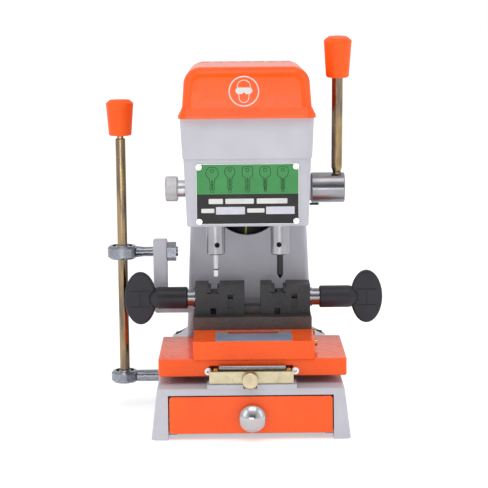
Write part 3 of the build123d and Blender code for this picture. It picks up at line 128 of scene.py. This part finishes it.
def metal(name, dark, light, roughness, stretch, grain=900, bump_depth=0.00001, metallic=1.0):
    """Machined or plated metal: fine lines along the stretch's weak axes, with a slow change of tone."""
    material, tree, shader = new_material(name)
    lines = noise(tree, object_space(tree, stretch), grain, 2, 0.6)
    patches = noise(tree, object_space(tree, (1, 1, 1)), 60, 3)
    blend = tree.nodes.new("ShaderNodeMath")
    blend.operation = "MULTIPLY_ADD"
    blend.inputs[1].default_value = 0.6
    tree.links.new(patches, blend.inputs[0])
    tree.links.new(lines, blend.inputs[2])
    centred = tree.nodes.new("ShaderNodeMath")
    centred.operation = "ADD"
    centred.inputs[1].default_value = -0.5
    tree.links.new(blend.outputs[0], centred.inputs[0])
    tones = colour_ramp(tree, centred.outputs[0], [(0.0, dark), (0.6, light)])
    tree.links.new(tones, shader.inputs["Base Color"])
    tree.links.new(spread(tree, lines, roughness - 0.06, roughness + 0.08), shader.inputs["Roughness"])
    shader.inputs["Metallic"].default_value = metallic
    bump(tree, shader, lines, 0.25, bump_depth)
    return material


def moulded_plastic(name, dark, light, roughness, grain_scale=1800, depth=0.00003):
    """Moulded plastic: slight flow marks and a fine spark-eroded grain."""
    material, tree, shader = new_material(name)
    space = object_space(tree, (1, 1, 1))
    flow = noise(tree, space, 45, 4)
    tree.links.new(colour_ramp(tree, flow, [(0.3, dark), (0.7, light)]), shader.inputs["Base Color"])
    tree.links.new(spread(tree, flow, roughness - 0.05, roughness + 0.07), shader.inputs["Roughness"])
    shader.inputs["Specular IOR Level"].default_value = 0.3
    bump(tree, shader, noise(tree, space, grain_scale, 2), 0.3, depth)
    return material


def yellow_zinc(name):
    """Yellow passivated zinc: a film that drifts from olive through straw to pink."""
    material, tree, shader = new_material(name)
    film = noise(tree, object_space(tree, (1.0, 1.0, 0.12)), 70, 4, 0.55)
    olive = (0.10, 0.075, 0.045)
    straw = (0.36, 0.255, 0.125)
    pink = (0.33, 0.19, 0.165)
    grey = (0.16, 0.125, 0.105)
    stops = [(0.25, olive), (0.42, straw), (0.52, grey), (0.62, straw), (0.75, pink)]
    tree.links.new(colour_ramp(tree, film, stops), shader.inputs["Base Color"])
    fine = noise(tree, object_space(tree, (1, 1, 1)), 700, 3)
    tree.links.new(spread(tree, fine, 0.14, 0.24), shader.inputs["Roughness"])
    shader.inputs["Metallic"].default_value = 1.0
    bump(tree, shader, fine, 0.2, 0.00001)
    return material


# how a metal's grain is stretched along x, y and z
EVEN = (1, 1, 1)
TURNED_X = (40.0, 1.0, 1.0)
TURNED_Z = (1.0, 1.0, 40.0)
MILLED = (1.0, 12.0, 1.0)
SPUN_Y = (1.0, 30.0, 1.0)
BRUSHED_X = (30.0, 1.0, 1.0)

grey_paint = enamel("grey_enamel", (0.47, 0.47, 0.52), (0.53, 0.53, 0.585), 0.42, 0.08, 420, 0.00006)
orange_paint = enamel("orange_enamel", (0.90, 0.088, 0.003), (0.96, 0.106, 0.005), 0.27, 0.16, 380, 0.00002)
orange_cap = moulded_plastic("orange_plastic", (0.88, 0.088, 0.0015), (0.95, 0.112, 0.003), 0.42)
black_cap = moulded_plastic("black_plastic", (0.016, 0.016, 0.021), (0.028, 0.028, 0.036), 0.40)
black_coat = enamel("black_coat", (0.012, 0.012, 0.013), (0.028, 0.028, 0.03), 0.55, 0.0, 900, 0.00008)
tray_paint = enamel("tray_enamel", (0.30, 0.30, 0.32), (0.36, 0.36, 0.38), 0.5, 0.0, 500, 0.00008)
vise_steel = metal(
    "blackened_steel", (0.028, 0.028, 0.03), (0.060, 0.060, 0.064), 0.46, MILLED, 500, 0.00002, 0.6
)
plate_steel = metal(
    "browned_steel", (0.055, 0.045, 0.043), (0.105, 0.090, 0.086), 0.42, MILLED, 500, 0.00002, 0.6
)
bright_x = metal("bright_turned_along_x", (0.20, 0.20, 0.22), (0.38, 0.38, 0.41), 0.22, TURNED_X)
bright_z = metal("bright_turned_along_z", (0.24, 0.24, 0.26), (0.42, 0.42, 0.44), 0.24, TURNED_Z)
bright_plain = metal("bright_zinc", (0.17, 0.18, 0.205), (0.36, 0.375, 0.42), 0.2, EVEN, 500)
tool_steel = metal("tool_steel", (0.36, 0.36, 0.38), (0.58, 0.58, 0.60), 0.25, TURNED_Z)
black_steel = metal(
    "blued_steel", (0.015, 0.015, 0.018), (0.045, 0.045, 0.05), 0.32, TURNED_Z, 700, 0.00001, 0.8
)
screw_steel = metal("screw_steel", (0.55, 0.55, 0.56), (0.80, 0.80, 0.80), 0.25, EVEN, 900)
aluminium = metal("aluminium", (0.55, 0.55, 0.56), (0.74, 0.74, 0.75), 0.33, TURNED_Z, 600)
chrome = metal("chrome", (0.42, 0.42, 0.44), (0.56, 0.56, 0.58), 0.16, SPUN_Y, 300)
brass = metal("brass", (0.42, 0.29, 0.08), (0.72, 0.53, 0.20), 0.28, EVEN, 700)
zinc_film = yellow_zinc("yellow_zinc")
pale_zinc = metal("straw_zinc", (0.44, 0.38, 0.24), (0.62, 0.55, 0.38), 0.32, EVEN, 160)
belt_rubber = moulded_plastic("belt_green", (0.02, 0.12, 0.06), (0.03, 0.18, 0.09), 0.5)
rocker_red = moulded_plastic("rocker_red", (0.45, 0.012, 0.010), (0.58, 0.02, 0.015), 0.3)
wire_sleeve = moulded_plastic("earth_yellow", (0.42, 0.42, 0.04), (0.28, 0.45, 0.05), 0.5)
print_green = moulded_plastic("print_green", (0.045, 0.235, 0.070), (0.060, 0.285, 0.085), 0.40, 700, 0.00002)
print_black = moulded_plastic("print_black", (0.006, 0.006, 0.007), (0.011, 0.011, 0.012), 0.30, 700, 0.00002)
print_dark_green = moulded_plastic("print_dark_green", (0.006, 0.045, 0.012), (0.01, 0.06, 0.018), 0.4)
print_white = moulded_plastic("print_white", (0.62, 0.62, 0.60), (0.72, 0.72, 0.70), 0.4)
print_silver = metal(
    "print_silver", (0.42, 0.42, 0.48), (0.62, 0.62, 0.70), 0.4, BRUSHED_X, 300, 0.00001, 0.7
)
print_blue = moulded_plastic("print_blue_grey", (0.19, 0.23, 0.33), (0.27, 0.31, 0.42), 0.35)
print_red = moulded_plastic("print_dark_red", (0.25, 0.03, 0.02), (0.36, 0.05, 0.03), 0.4)
# Near-black for the set screws' sockets; on the feed stop pin under the hub it is painted shadow.
socket_and_shadow_black = moulded_plastic("socket_and_painted_shadow_black", (0.006, 0.006, 0.006), (0.014, 0.014, 0.014), 0.6)

FINISHES = [
    (grey_paint, ["base_casting", "column_casting", "head_casting", "rod_end_bracket"]),
    (orange_paint, ["belt_cover", "drawer_front", "lower_table", "upper_table"]),
    (orange_cap, ["feed_lever_knob", "xy_lever_knob"]),
    (black_cap, ["clamp_knob_left", "clamp_knob_right", "power_switch", "cable_gland"]),
    (black_coat, ["rear_cover", "motor_body", "column_bolts"]),
    (tray_paint, ["drawer_tray"]),
    (vise_steel, ["vise_bodies", "jaw_left", "jaw_right"]),
    (plate_steel, ["vise_base_plate"]),
    (bright_x, ["feed_hub", "feed_pinion_shaft", "lock_rod", "x_guide_shafts", "z_lock_knob"]),
    (bright_x, ["clamp_screw_left", "clamp_screw_right"]),
    (bright_z, ["cutter_spindle", "tracer_sleeve", "motor_shaft", "carrier_guide_rods", "spindle_bearings"]),
    (bright_plain, ["upper_rod_end", "lower_rod_end", "rod_end_nut", "upper_ball", "lower_ball"]),
    (bright_plain, ["carrier_springs"]),
    (tool_steel, ["cutter"]),
    (black_steel, ["tracer_pin", "upper_liner", "lower_liner"]),
    (screw_steel, ["data_plate_screws", "rear_cover_screws", "y_guide_shafts"]),
    (aluminium, ["motor_pulley", "spindle_pulley", "spindle_carrier", "data_plate"]),
    (chrome, ["drawer_knob"]),
    (brass, ["shaft_end_screws"]),
    (zinc_film, ["xy_lever_rod", "feed_lever_rod"]),
    (pale_zinc, ["lock_plate", "lock_screw"]),
    (belt_rubber, ["drive_belt"]),
    (rocker_red, ["switch_rocker"]),
    (wire_sleeve, ["earth_wire"]),
]

for material, names in FINISHES:
    for name in names:
        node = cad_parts[name]
        for slot in node.material_slots:
            slot.link = "OBJECT"
            slot.material = material

# ---------------------------------------------------------------- mesh helpers


def add_piece(name, mesh, material, body):
    """Links a mesh as a piece that rides on a body."""
    piece = bpy.data.objects.new(name, mesh)
    bpy.context.scene.collection.objects.link(piece)
    mesh.materials.append(material)
    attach(piece, body)
    return piece


def to_mesh(name, build):
    """A mesh filled in by a bmesh function."""
    mesh = bpy.data.meshes.new(name)
    work = bmesh.new()
    build(work)
    bmesh.ops.recalc_face_normals(work, faces=work.faces)
    work.to_mesh(mesh)
    work.free()
    return mesh


def printed(name, build, material, body):
    """A printed mark: a thin piece in the finish of printed plates."""
    return add_piece(name, to_mesh(name, build), material, body)


def join_rings(work, rings):
    """Faces between rings of vertices that follow each other."""
    for one, two in zip(rings, rings[1:]):
        for j in range(len(one)):
            k = (j + 1) % len(one)
            work.faces.new((one[j], one[k], two[k], two[j]))


def close_ends(work, rings):
    """Flat faces over the first and the last ring."""
    work.faces.new(rings[0][::-1])
    work.faces.new(rings[-1])


def frame_round(axis):
    """The axis and two directions square to it, all of length one."""
    way = Vector(axis).normalized()
    side = way.orthogonal().normalized()
    return way, side, way.cross(side)


def slab(outlines, place, thickness):
    """Flat shapes with thickness. place(u, v, w) turns outline coordinates and height into a point."""

    def build(work):
        for outline in outlines:
            low = [work.verts.new(place(u, v, 0)) for u, v in outline]
            high = [work.verts.new(place(u, v, thickness)) for u, v in outline]
            close_ends(work, [low, high])
            join_rings(work, [low, high])

    return build


def ribbons(paths, width, place, thickness):
    """Strips of one width along closed paths of (u, v) points."""

    def build(work):
        for path in paths:
            count = len(path)
            rails = []
            for i in range(count):
                before = Vector(path[i - 1])
                here = Vector(path[i])
                after = Vector(path[(i + 1) % count])
                way = (after - before).normalized()
                side = Vector((-way.y, way.x)) * width / 2
                rails.append((here + side, here - side))
            rings = []
            for left, right in rails:
                corners = [place(left.x, left.y, 0), place(right.x, right.y, 0)]
                corners += [place(right.x, right.y, thickness), place(left.x, left.y, thickness)]
                rings.append([work.verts.new(corner) for corner in corners])
            join_rings(work, rings + rings[:1])

    return build


def circle(centre_u, centre_v, radius, steps=36, start=0.0, turn=2 * pi):
    """Points round a circle, or along part of it."""
    last = steps if turn >= 2 * pi else steps - 1
    angles = [start + turn * i / last for i in range(steps)]
    return [(centre_u + radius * cos(angle), centre_v + radius * sin(angle)) for angle in angles]


def rounded(u0, v0, u1, v1, radius, steps=5):
    """A rectangle with round corners, anticlockwise."""
    corners = [(u1 - radius, v0 + radius, -90), (u1 - radius, v1 - radius, 0)]
    corners += [(u0 + radius, v1 - radius, 90), (u0 + radius, v0 + radius, 180)]
    points = []
    for u, v, angle in corners:
        points += circle(u, v, radius, steps, radians(angle), pi / 2)
    return points


def turned(profile, centre, axis, steps=48, ripple=None):
    """A turned shape: profile is (distance along the axis, radius). ripple(i, j) moves a point outwards."""
    way, side, other = frame_round(axis)

    def build(work):
        rings = []
        for i, (along, radius) in enumerate(profile):
            ring = []
            for j in range(steps):
                angle = 2 * pi * j / steps
                reach = radius + (ripple(i, j) if ripple else 0.0)
                spot = Vector(centre) + way * along + (side * cos(angle) + other * sin(angle)) * reach
                ring.append(work.verts.new(spot))
            rings.append(ring)
        join_rings(work, rings)
        close_ends(work, rings)

    return build


# ---------------------------------------------------------------- data plate print

plate_low, plate_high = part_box("data_plate")
PLATE_X = (plate_low[0] + plate_high[0]) / 2
PLATE_HALF = (plate_high[0] - plate_low[0]) / 2
PLATE_EDGE = 0.4 * MM
SPLIT_Z = (plate_low[2] + plate_high[2]) / 2


def on_plate(u, v, w):
    """A point on the plate's face, u and v measured from its centre."""
    return (PLATE_X + u, plate_low[1] - w, SPLIT_Z + v)


def upper_panel():
    """The upper half of the printed face, cut back round the two screws at its corners. Anticlockwise."""
    right = circle(PRINT_SIDE, PRINT_TOP, SCREW_NOTCH, 9, radians(270), -pi / 2)
    left = [(-u, v) for u, v in reversed(right)]
    return [(-PRINT_SIDE, 0.0), (PRINT_SIDE, 0.0)] + right + left


PRINT_TOP = plate_high[2] - SPLIT_Z - PLATE_EDGE
PRINT_SIDE = PLATE_HALF - PLATE_EDGE
SCREW_NOTCH = 4.6 * MM
green_half = upper_panel()
black_half = [(u, -v) for u, v in reversed(green_half)]
printed("plate_green", slab([green_half], on_plate, PRINT_LIFT), print_green, "machine")
printed("plate_black", slab([black_half], on_plate, PRINT_LIFT), print_black, "machine")


def key_head(u, centre, radius, squareness, start):
    """A key's head, round or squarish, from one side of the neck round to the other. Anticlockwise."""
    sweep = 2 * pi + 2 * (-pi / 2 - start)
    points = []
    for i in range(HEAD_STEPS + 1):
        angle = start + sweep * i / HEAD_STEPS
        stretch = 1.0 / max(abs(cos(angle)), abs(sin(angle)))
        reach = radius * ((1 - squareness) + squareness * min(stretch, FULLEST_CORNER))
        points.append((u + reach * cos(angle), centre + reach * sin(angle)))
    return points


def key_outline(u, top, head_radius, squareness, blade_half, teeth):
    """A generic key, head up: a head and a blade with small notches down both sides. Anticlockwise."""
    centre = top - head_radius
    neck = sqrt(head_radius**2 - blade_half**2)
    head = key_head(u, centre, head_radius, squareness, atan2(-neck, blade_half))
    length = centre - neck - KEY_TIP - TIP_SLOPE
    left = []
    for i in range(teeth):
        v = centre - neck - length * (i + 1) / (teeth + 1)
        inset = blade_half * (NOTCH_DEPTH if i % 2 else 0.0)
        left.append((u - blade_half + inset, v))
    right = [(2 * u - x, v) for x, v in reversed(left)]
    tip_half = blade_half * TIP_WIDTH
    return head + left + [(u - tip_half, KEY_TIP), (u + tip_half, KEY_TIP)] + right


HEAD_STEPS = 24
FULLEST_CORNER = 1.25  # how far a squarish head's corners reach, in head radii
KEY_TIP = 2.0 * MM
TIP_SLOPE = 1.6 * MM
TIP_WIDTH = 0.45  # of the blade's width
NOTCH_DEPTH = 0.35  # of half the blade's width
KEY_GAP = 17.1 * MM
KEY_TOP = PRINT_TOP - 2.2 * MM
KEY_LINE = 0.55 * MM
GROOVE_HALF = 0.5 * MM
GROOVE_LOW = 4.4 * MM
# head radius, how square the head is, half the blade's width, notches down the blade
KEY_FORMS = [
    (6.1, 0.0, 2.5, 3),
    (5.1, 0.0, 2.4, 6),
    (5.1, 0.9, 2.4, 5),
    (5.3, 0.5, 1.7, 4),
    (5.3, 0.6, 2.0, 6),
]


def lifted(u, v, w):
    """A point just above the printed panels."""
    return on_plate(u, v, w + PRINT_LIFT)


key_paths = []
for number, (head, squareness, blade, teeth) in enumerate(KEY_FORMS):
    key_u = (number - 2) * KEY_GAP
    groove_high = KEY_TOP - 2.2 * head * MM
    key_paths.append(key_outline(key_u, KEY_TOP, head * MM, squareness, blade * MM, teeth))
    key_paths.append(circle(key_u, KEY_TOP - head * 0.62 * MM, 1.6 * MM, 20))
    key_paths.append(rounded(key_u - GROOVE_HALF, GROOVE_LOW, key_u + GROOVE_HALF, groove_high, 0.3 * MM))
printed("plate_keys", ribbons(key_paths, KEY_LINE, lifted, INK), print_dark_green, "machine")


def row_of_bars(spans, low, high, corner):
    """Plain bars in one row of the plate. A span is where a bar starts and ends, in mm from the middle."""
    return [rounded(start * MM, low, end * MM, high, corner) for start, end in spans]


# Plain bars stand where a maker would print a title and ratings.
TITLE_LOW = -9.4 * MM
TITLE_HIGH = -4.4 * MM
RATING_LOW = -19.7 * MM
RATING_HIGH = -12.4 * MM
CAPTION_INSET = 1.6 * MM
title_spans = [(-37.8, -24.0), (-21.6, 6.0), (8.8, 38.5)]
caption_spans = [(-45.0, -32.4), (-0.5, 16.2)]
field_spans = [(-30.8, -2.7), (17.8, 45.4)]
bars = row_of_bars(title_spans, TITLE_LOW, TITLE_HIGH, 0.8 * MM)
bars += row_of_bars(caption_spans, RATING_LOW + CAPTION_INSET, RATING_HIGH - CAPTION_INSET, 0.6 * MM)
printed("plate_bars", slab(bars, lifted, INK), print_white, "machine")
fields = row_of_bars(field_spans, RATING_LOW, RATING_HIGH, 0.3 * MM)
printed("plate_fields", slab(fields, lifted, INK), print_silver, "machine")

# ---------------------------------------------------------------- eye-protection sign on the belt cover

cover_low, cover_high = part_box("belt_cover")
RIM_STEP = 4.1 * MM  # the cover's rim stands this far in front of its face
COVER_FACE = cover_low[1] + RIM_STEP
SIGN_X = (cover_low[0] + cover_high[0]) / 2 - 2.7 * MM
SIGN_Z = cover_high[2] - 23.2 * MM
SIGN_RADIUS = 14.1 * MM


def on_cover(u, v, w):
    """A point on the cover's face, u and v measured from the sign's centre."""
    return (SIGN_X + u, COVER_FACE - w, SIGN_Z + v)


ring_line = ribbons([circle(0, 0, SIGN_RADIUS, 72)], 1.1 * MM, on_cover, 0.2 * MM)
printed("sign_ring", ring_line, print_white, "machine")


def goggles():
    """A plain goggles shape: a visor band with a nose notch."""
    lens_u = 5.0 * MM
    lens_v = 0.5 * MM
    lens_radius = 3.1 * MM
    right = circle(lens_u, lens_v, lens_radius, 11, radians(90), -pi)
    nose = circle(0, -2.8 * MM, 1.6 * MM, 9, 0.0, pi)
    left = [(-u, v) for u, v in reversed(right)]
    return (right + nose + left)[::-1]


def head_outline():
    """A face seen from the front: a round crown and a narrower chin."""
    crown = circle(0, 4.4 * MM, 6.3 * MM, 15, 0.0, pi)
    chin = circle(0, -6.2 * MM, 4.6 * MM, 15, pi, pi)
    return crown + chin


face_line = ribbons([head_outline()], 0.7 * MM, on_cover, 0.15 * MM)
printed("sign_face", face_line, print_white, "machine")
printed("sign_goggles", slab([goggles()], on_cover, 0.25 * MM), print_white, "machine")

# ---------------------------------------------------------------- label on the upper table

table_low, table_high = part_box("upper_table")
vise_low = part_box("vise_base_plate")[0]
LABEL_X = (table_low[0] + table_high[0]) / 2
LABEL_HALF = 37 * MM
LABEL_FRONT = table_low[1] + 1.2 * MM
LABEL_BACK = vise_low[1] - 8.0 * MM
LABEL_THICK = 0.3 * MM
BAND_HALF = LABEL_HALF - 3 * MM
BAND_FRONT = LABEL_FRONT + 3 * MM
BAND_DEPTH = 22 * MM
BAR_BACK = LABEL_BACK - 4 * MM
BAR_DEPTH = 7 * MM


def on_table(u, v, w):
    """A point over the upper table's top: u from its middle, v in the frame's own y."""
    return (LABEL_X + u, v, table_high[2] + w)


def on_label(u, v, w):
    """A point over the label's face."""
    return on_table(u, v, w + LABEL_THICK)


label_face = rounded(-LABEL_HALF, LABEL_FRONT, LABEL_HALF, LABEL_BACK, 1.0 * MM)
printed("table_label", slab([label_face], on_table, LABEL_THICK), print_silver, "x_stage")
blue_band = rounded(-BAND_HALF, BAND_FRONT, BAND_HALF, BAND_FRONT + BAND_DEPTH, 1.0 * MM)
printed("label_blue", slab([blue_band], on_label, INK), print_blue, "x_stage")
red_bar = rounded(-25 * MM, BAR_BACK - BAR_DEPTH, 24 * MM, BAR_BACK, 0.8 * MM)
printed("label_red", slab([red_bar], on_label, INK), print_red, "x_stage")

# ---------------------------------------------------------------- knurled Z lock knob

knob_low, knob_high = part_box("z_lock_knob")
KNOB_Y = (knob_low[1] + knob_high[1]) / 2
KNOB_Z = (knob_low[2] + knob_high[2]) / 2
KNOB_RADIUS = (knob_high[2] - knob_low[2]) / 2
KNOB_LENGTH = knob_high[0] - knob_low[0]
GRIP_LENGTH = 12.8 * MM
GRIP_EDGE = 1.2 * MM
COLLAR_RADIUS = 8.7 * MM
COLLAR_END = KNOB_LENGTH - 5.0 * MM
STUD_START = KNOB_LENGTH - 4.6 * MM
STUD_RADIUS = 5.0 * MM
KNURLS = 54
STEPS_A_KNURL = 4
KNURL_ROWS = 33
KNURL_TWIST = 0.18  # how many knurls a ridge leans from one row to the next
KNURL_DEPTH = 0.45 * MM
RIM_RADIUS = KNOB_RADIUS - GRIP_EDGE
RIM = [(0.0, RIM_RADIUS - 0.4 * MM), (0.15 * MM, RIM_RADIUS), (GRIP_EDGE, KNOB_RADIUS)]


def knurl(i, j):
    """Diamond knurling: two crossed sets of ridges, none on the rims."""
    row = i - len(RIM)
    if not 0 <= row < KNURL_ROWS:
        return 0.0
    place = j / STEPS_A_KNURL
    one = abs(((place + row * KNURL_TWIST) % 1.0) - 0.5) * 2
    two = abs(((place - row * KNURL_TWIST) % 1.0) - 0.5) * 2
    return -KNURL_DEPTH * max(one, two)


row_gap = (GRIP_LENGTH - 2 * GRIP_EDGE) / (KNURL_ROWS - 1)
profile = RIM + [(GRIP_EDGE + row_gap * row, KNOB_RADIUS) for row in range(KNURL_ROWS)]
profile += [(GRIP_LENGTH, RIM_RADIUS), (GRIP_LENGTH, COLLAR_RADIUS), (COLLAR_END, COLLAR_RADIUS)]
profile += [(STUD_START, STUD_RADIUS), (KNOB_LENGTH, STUD_RADIUS)]
knob_build = turned(profile, (knob_low[0], KNOB_Y, KNOB_Z), (1, 0, 0), KNURLS * STEPS_A_KNURL, knurl)
knurled = add_piece("knurled_knob", to_mesh("knurled_knob", knob_build), aluminium, "z_lock")
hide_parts("z_lock_knob")

# ---------------------------------------------------------------- small fastenings


def hexagon_reach(angle, corner_radius):
    """How far a hexagon's edge is from its centre at an angle."""
    return corner_radius * cos(pi / 6) / cos((angle % (pi / 3)) - pi / 6)


def socket_screw(name, centre, axis, body):
    """A set screw with a hexagonal socket, its outer face at the centre point."""
    way, side, other = frame_round(axis)

    def ring(work, radius, along, hexagonal=False):
        points = []
        for j in range(SCREW_STEPS):
            angle = 2 * pi * j / SCREW_STEPS
            reach = hexagon_reach(angle, radius) if hexagonal else radius
            spot = Vector(centre) + way * along + (side * cos(angle) + other * sin(angle)) * reach
            points.append(work.verts.new(spot))
        return points

    def build(work):
        rings = [
            ring(work, SET_RADIUS, -SET_DEPTH),
            ring(work, SET_RADIUS, -SET_EDGE),
            ring(work, SET_RADIUS - SET_EDGE, 0.0),
            ring(work, SET_RADIUS * 0.62, 0.0, hexagonal=True),
            ring(work, SET_RADIUS * 0.58, -SET_DEPTH * 0.6, hexagonal=True),
        ]
        join_rings(work, rings)
        close_ends(work, rings)

    add_piece(name, to_mesh(name, build), socket_and_shadow_black, body)


nose_low, nose_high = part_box("cutter_spindle")
sleeve_low, sleeve_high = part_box("tracer_sleeve")
NOSE_X = (nose_low[0] + nose_high[0]) / 2
SLEEVE_X = (sleeve_low[0] + sleeve_high[0]) / 2
TOOL_Y = (nose_low[1] + nose_high[1]) / 2
SCREW_Y = TOOL_Y - 7.6 * MM
SCREW_Z = nose_low[2] + 10.0 * MM
SCREW_STEPS = 24
SET_RADIUS = 2.3 * MM
SET_DEPTH = 3.2 * MM
SET_EDGE = 0.3 * MM
socket_screw("nose_set_screw", (NOSE_X + 2.1 * MM, SCREW_Y, SCREW_Z), (0.18, -0.98, 0), "spindle")
socket_screw("sleeve_set_screw", (SLEEVE_X - 1.5 * MM, SCREW_Y, SCREW_Z), (-0.13, -0.99, 0), "carriage")

hub_low, hub_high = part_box("feed_hub")
# A guessed stop pin just under the feed hub, drawn near-black: its colour is painted shadow that stands in
# for the hub's dark shadow line along its underside.
STOP_RADIUS = 1.1 * MM
stop_profile = [(0.0, STOP_RADIUS), (8.6 * MM, STOP_RADIUS), (9.0 * MM, STOP_RADIUS - 0.4 * MM)]
stop_spot = (hub_low[0] - 1.2 * MM, (hub_low[1] + hub_high[1]) / 2, hub_low[2] - 1.4 * MM)
stop_mesh = to_mesh("feed_stop_pin_painted_shadow", turned(stop_profile, stop_spot, (1, 0, 0), 24))
add_piece("feed_stop_pin_painted_shadow", stop_mesh, socket_and_shadow_black, "machine")

lock_low, lock_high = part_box("lock_rod")


def pan_head(name, x):
    """A small brass screw head with a driver slot, standing on the lock rod's flange."""
    levels = [
        (0.0, HEAD_RADIUS),
        (HEAD_HEIGHT * 0.45, HEAD_RADIUS),
        (HEAD_HEIGHT * 0.85, HEAD_RADIUS * 0.8),
        (HEAD_HEIGHT, HEAD_RADIUS * 0.45),
    ]

    def build(work):
        rings = []
        for along, reach in levels:
            ring = []
            for j in range(HEAD_CORNERS):
                angle = 2 * pi * j / HEAD_CORNERS
                u = reach * cos(angle)
                in_slot = abs(u) < SLOT_HALF and along > HEAD_HEIGHT / 2
                height = along - (SLOT_DEPTH if in_slot else 0.0)
                ring.append(work.verts.new((x + u, LOCK_Y + reach * sin(angle), FLANGE_Z + height)))
            rings.append(ring)
        join_rings(work, rings)
        close_ends(work, rings)

    add_piece(name, to_mesh(name, build), brass, "y_stage")


LOCK_Y = (lock_low[1] + lock_high[1]) / 2
FLANGE_Z = lock_low[2]
HEAD_RADIUS = 2.3 * MM
HEAD_HEIGHT = 1.8 * MM
HEAD_CORNERS = 32
SLOT_HALF = 0.16 * HEAD_RADIUS
SLOT_DEPTH = 0.35 * HEAD_HEIGHT
pan_head("lock_screw_left", lock_low[0] - 2.9 * MM)
pan_head("lock_screw_right", lock_high[0] + 2.5 * MM)

# ---------------------------------------------------------------- floor, light and camera

# A pale floor that glows a little, so that it reads as one with the white background.
material, tree, shader = new_material("floor")
shader.inputs["Base Color"].default_value = (0.9, 0.9, 0.9, 1.0)
shader.inputs["Roughness"].default_value = 0.9
shader.inputs["Emission Color"].default_value = (1.0, 1.0, 1.0, 1.0)
shader.inputs["Emission Strength"].default_value = 0.36
bpy.ops.mesh.primitive_plane_add(size=40.0, location=(0, 0, 0))
floor = bpy.context.object
floor.name = "floor"
floor.data.materials.append(material)


def softbox(name, location, size, power):
    """A rectangular area light that faces the machine's middle."""
    data = bpy.data.lights.new(name, "AREA")
    data.shape = "RECTANGLE"
    data.size = size[0]
    data.size_y = size[1]
    data.energy = power
    light = bpy.data.objects.new(name, data)
    light.location = location
    light.rotation_euler = (MIDDLE - Vector(location)).to_track_quat("-Z", "Y").to_euler()
    bpy.context.scene.collection.objects.link(light)


MIDDLE = Vector((0.0, 0.0, 0.17))
softbox("left", (-1.4, -0.9, 0.9), (0.8, 1.4), 3.5)
softbox("right", (1.5, -0.7, 0.8), (0.6, 1.4), 2.5)
softbox("top", (0.0, -0.7, 1.7), (1.4, 0.8), 5.5)
softbox("front", (-0.2, -1.9, 0.12), (1.0, 0.2), 2.8)

# The room: white behind, above and beside the machine, dim towards the camera. The camera itself sees white.
world = bpy.data.worlds.new("studio")
bpy.context.scene.world = world
world.use_nodes = True
sky = world.node_tree
ROOM_DIM = 0.10
ROOM_BRIGHT = 0.85


def ramp_of(source, low, high):
    """A smooth step of one part of the direction, from dim to bright."""
    node = sky.nodes.new("ShaderNodeMapRange")
    node.interpolation_type = "SMOOTHSTEP"
    node.inputs["From Min"].default_value = low
    node.inputs["From Max"].default_value = high
    node.inputs["To Min"].default_value = ROOM_DIM
    node.inputs["To Max"].default_value = ROOM_BRIGHT
    sky.links.new(source, node.inputs["Value"])
    return node.outputs["Result"]


def combine(operation, first, second=None):
    """The result of a math node on one or two values."""
    node = sky.nodes.new("ShaderNodeMath")
    node.operation = operation
    sky.links.new(first, node.inputs[0])
    if second:
        sky.links.new(second, node.inputs[1])
    return node.outputs[0]


direction = sky.nodes.new("ShaderNodeTexCoord")
parts = sky.nodes.new("ShaderNodeSeparateXYZ")
sky.links.new(direction.outputs["Generated"], parts.inputs[0])
sides = ramp_of(combine("ABSOLUTE", parts.outputs["X"]), 0.22, 0.6)
behind = ramp_of(parts.outputs["Y"], -0.1, 0.3)
above = ramp_of(parts.outputs["Z"], 0.25, 0.8)
room = combine("MAXIMUM", combine("MAXIMUM", sides, behind), above)
rays = sky.nodes.new("ShaderNodeLightPath")
level_of_light = combine("MAXIMUM", room, rays.outputs["Is Camera Ray"])
sky.links.new(level_of_light, sky.nodes["Background"].inputs["Strength"])
sky.nodes["Background"].inputs["Color"].default_value = (1.0, 1.0, 1.0, 1.0)

bpy.context.scene.view_settings.view_transform = "Standard"

# The camera stands a good metre and a half in front, a little above the machine, and looks slightly down.
CAMERA_SPOT = Vector((-0.0103, -1.5853, 0.4088))
PITCH = radians(8.58)
YAW = radians(0.2)
ROLL = radians(-0.53)
FIELD = 36.0
LENS = 117.9

ahead = Vector((sin(YAW) * cos(PITCH), cos(YAW) * cos(PITCH), -sin(PITCH)))
level = Vector((cos(YAW), -sin(YAW), 0.0))
down = ahead.cross(level)
across = cos(ROLL) * level - sin(ROLL) * down
upward = -(sin(ROLL) * level + cos(ROLL) * down)
camera_data = bpy.data.cameras.new("camera")
camera_data.sensor_width = FIELD
camera_data.lens = LENS
camera = bpy.data.objects.new("camera", camera_data)
turn = Matrix((across, upward, -ahead)).transposed()
camera.matrix_world = Matrix.Translation(CAMERA_SPOT) @ turn.to_4x4()
bpy.context.scene.collection.objects.link(camera)
bpy.context.scene.camera = camera
